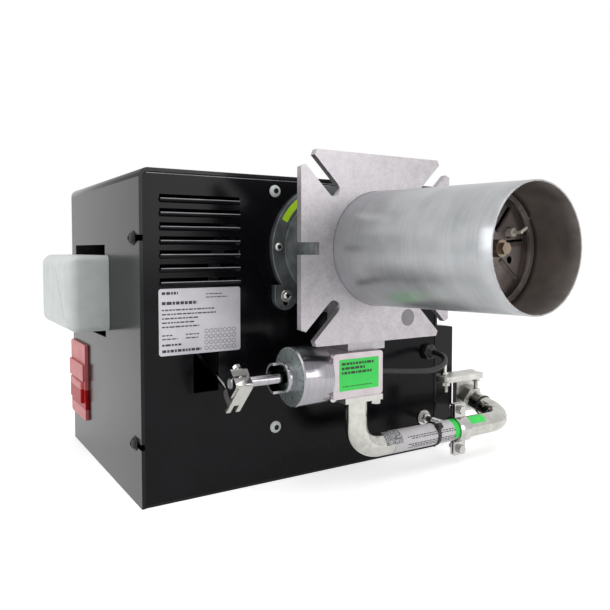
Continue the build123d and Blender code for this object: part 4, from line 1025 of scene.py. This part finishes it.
def bead(name, start, end, radius):
    """Round bar between two points: p = s + h (e - s) + r (cos a u + sin a v)."""
    start = np.asarray(start, float)
    end = np.asarray(end, float)
    u, v, n = axes_for(end - start)
    angle = np.linspace(0, 2 * np.pi, BEAD_SIDES, endpoint=False)
    ring = radius * (np.cos(angle)[:, None] * u + np.sin(angle)[:, None] * v)
    caps = [list(range(BEAD_SIDES)), list(range(BEAD_SIDES, 2 * BEAD_SIDES))]
    faces = grid_faces(2, BEAD_SIDES, wrap_columns=True).tolist() + caps
    return new_piece(name, np.vstack([start + ring, end + ring]), faces, edge_highlight_paint, slot="black_paint")


# Pale grey beads: painted highlights along the rolled edges.
for number in range(LOUVRES):
    y = panel_low[1] + 0.3
    z = LOUVRE_FIRST_Z + LOUVRE_PITCH * number
    bead(f"louvre_edge_{number + 1}", (LOUVRE_X[0], y, z), (LOUVRE_X[1], y, z), 0.5)
y = panel_face - 0.1
z = panel_high[2] - 1.2
bead("panel_top_edge", (panel_low[0] + 4, y, z), (panel_high[0] - 4, y, z), 0.45)
print("rolled edges", LOUVRES + 1)

# %% [markdown]
# The reset lens has a raised pad above its window band, moulded in the same acrylic. It is a flat plate
# with rounded corners, as wide as the lens.

# %% Lens pad
PAD_MARGIN = 3
PAD_HEIGHT = 23
PAD_Z = -171.0
lens_low, lens_high = box_mm("reset_lens")
flat_plate("lens_pad", rounded(lens_high[1] - lens_low[1] - PAD_MARGIN, PAD_HEIGHT, 1.2),
           (lens_low[0], (lens_low[1] + lens_high[1]) / 2, PAD_Z), (-1, 0, 0), 3.0, lens_red,
           slot="red_plastic")
print("pad", round(lens_high[1] - lens_low[1] - PAD_MARGIN, 1), "by", PAD_HEIGHT)

# %% [markdown]
# A black rubber ring sits on the pipe's last leg, where an installer marks how far it goes into its nut.
# It is a turned profile about the leg, which rises as it runs back to the inlet.

# %% Ring on the pipe's leg
LEG_START = np.array([260.0, 45.0, -235.0])
LEG_RUN = np.array([0.0, 63.0, 14.0])
RING_ALONG = 45
RING_PROFILE = [[13.3, -1.3], [14.4, -1.3], [14.8, 0], [14.4, 1.3], [13.3, 1.3]]
leg_slope = LEG_RUN / np.linalg.norm(LEG_RUN)
turned("leg_ring", RING_PROFILE, LEG_START + RING_ALONG * leg_slope, leg_slope, black_nylon, sides=40,
       slot="black_plastic")
print("leg rises", round(leg_slope[2], 3))

# %% [markdown]
# The switch box is one moulding with a lid, whose joint runs slantwise over its face, and one small sunk
# screw. The joint could be cut into the box, but at half a millimetre a dark strip sunk into the face
# gives the same line.

# %% Switch box details
JOINT_HALF = 0.45
JOINT_DEEP = np.array([0.6, 0, 0])
switch_low, switch_high = box_mm("pressure_switch")


def lid_joint():
    """Thin box between two points of the face: four corners, and again sunk into it."""
    x = switch_low[0] - 0.05
    start = np.array([x, switch_low[1] + 66, switch_high[2] - 14.5])
    end = np.array([x, switch_low[1] + 14.5, switch_low[2] + 15])
    along = end - start
    across = np.cross(along / np.linalg.norm(along), [1, 0, 0]) * JOINT_HALF
    rim = np.array([start - across, start + across, end + across, end - across])
    new_piece("switch_lid_joint", np.vstack([rim, rim + JOINT_DEEP]), BOX_FACES, plug_grey,
              slot="grey_plastic", smooth=False)
    return np.linalg.norm(along)


print("lid joint", round(lid_joint(), 1), "mm long")
dome_screw("switch_screw", (switch_low[0] + 1.3, switch_low[1] + 63, switch_low[2] + 40), (-1, 0, 0), 3.0,
           1.2, plug_grey, slot="grey_plastic")

# %% [markdown]
# The set is a plain white studio. The floor and the world could be lit until they burn out to white,
# which would flood the burner with light. Instead they look white only to the camera and to reflections,
# through the Light Path node, and cast a plain soft light on everything else. The floor keeps the
# burner's shadow.

# %% Floor and world
FLOOR_HALF = 6.0
FLOOR_GLOW = 0.56
WORLD_LIGHT = 0.5


def seen_directly(tree, dim, bright):
    """Strength: bright for camera, reflection and transmission rays, dim for other light."""
    rays = add(tree, "ShaderNodeLightPath", {}).node.outputs
    first = add(tree, "ShaderNodeMath", {0: rays["Is Camera Ray"], 1: rays["Is Glossy Ray"]},
                operation="MAXIMUM")
    seen = add(tree, "ShaderNodeMath", {0: first, 1: rays["Is Transmission Ray"]}, operation="MAXIMUM")
    return add(tree, "ShaderNodeMapRange", {"Value": seen, "To Min": dim, "To Max": bright})


def studio_floor():
    """One square at the height of the CAD box's underside, painted matt white."""
    h = FLOOR_HALF
    low = cad_box[0][2]
    mesh = bpy.data.meshes.new("studio_floor")
    mesh.from_pydata([(-h, -h, low), (h, -h, low), (h, h, low), (-h, h, low)], [], [[0, 1, 2, 3]])
    floor = bpy.data.objects.new("studio_floor", mesh)
    bpy.context.scene.collection.objects.link(floor)
    made, tree, shader, place = new_material("floor_paint")
    plug(tree, shader, {"Roughness": 1.0, "Specular IOR Level": 0.0, "Base Color": linear("#f2f2f2"),
                        "Emission Color": linear("#ffffff"),
                        "Emission Strength": seen_directly(tree, 0.0, FLOOR_GLOW)})
    mesh.materials.append(made)


def studio_world():
    """White to the camera and to reflections, half as bright as a light."""
    world = bpy.data.worlds.new("studio")
    bpy.context.scene.world = world
    world.use_nodes = True
    tree = world.node_tree
    plug(tree, tree.nodes["Background"], {"Color": linear("#ffffff"),
                                          "Strength": seen_directly(tree, WORLD_LIGHT, 1.0)})


studio_floor()
studio_world()
print("floor at", round(cad_box[0][2], 3), "m")

# %% [markdown]
# Three large lamps give long soft reflections in the enamel and the drum: one above, one for the left
# side and one for the tube's mouth. Small lamps would give hard spots and sharp shadows.

# %% Lamps
LAMPS = {  # place, target and size in metres, then power in watts
    "top_light": ((-0.3, -0.6, 1.9), (0, 0.1, 0), (1.6, 1.2), 16),
    "left_light": ((-2.0, 0.3, 0.6), (-0.2, 0.2, -0.1), (1.2, 1.4), 12),
    "front_light": ((0.8, -2.0, 0.5), (0, 0, -0.1), (1.0, 1.2), 10),
}


def soft_lamp(name, place, target, size, power):
    """Rectangular lamp that looks at its target."""
    lamp = bpy.data.lights.new(name, "AREA")
    lamp.shape = "RECTANGLE"
    lamp.size, lamp.size_y = size
    lamp.energy = power
    holder = bpy.data.objects.new(name, lamp)
    holder.location = place
    holder.rotation_euler = (Vector(target) - Vector(place)).to_track_quat("-Z", "Y").to_euler()
    bpy.context.scene.collection.objects.link(holder)


for name, settings in LAMPS.items():
    soft_lamp(name, *settings)
bpy.context.scene.view_settings.view_transform = "Standard"
print("lamps", len(LAMPS))
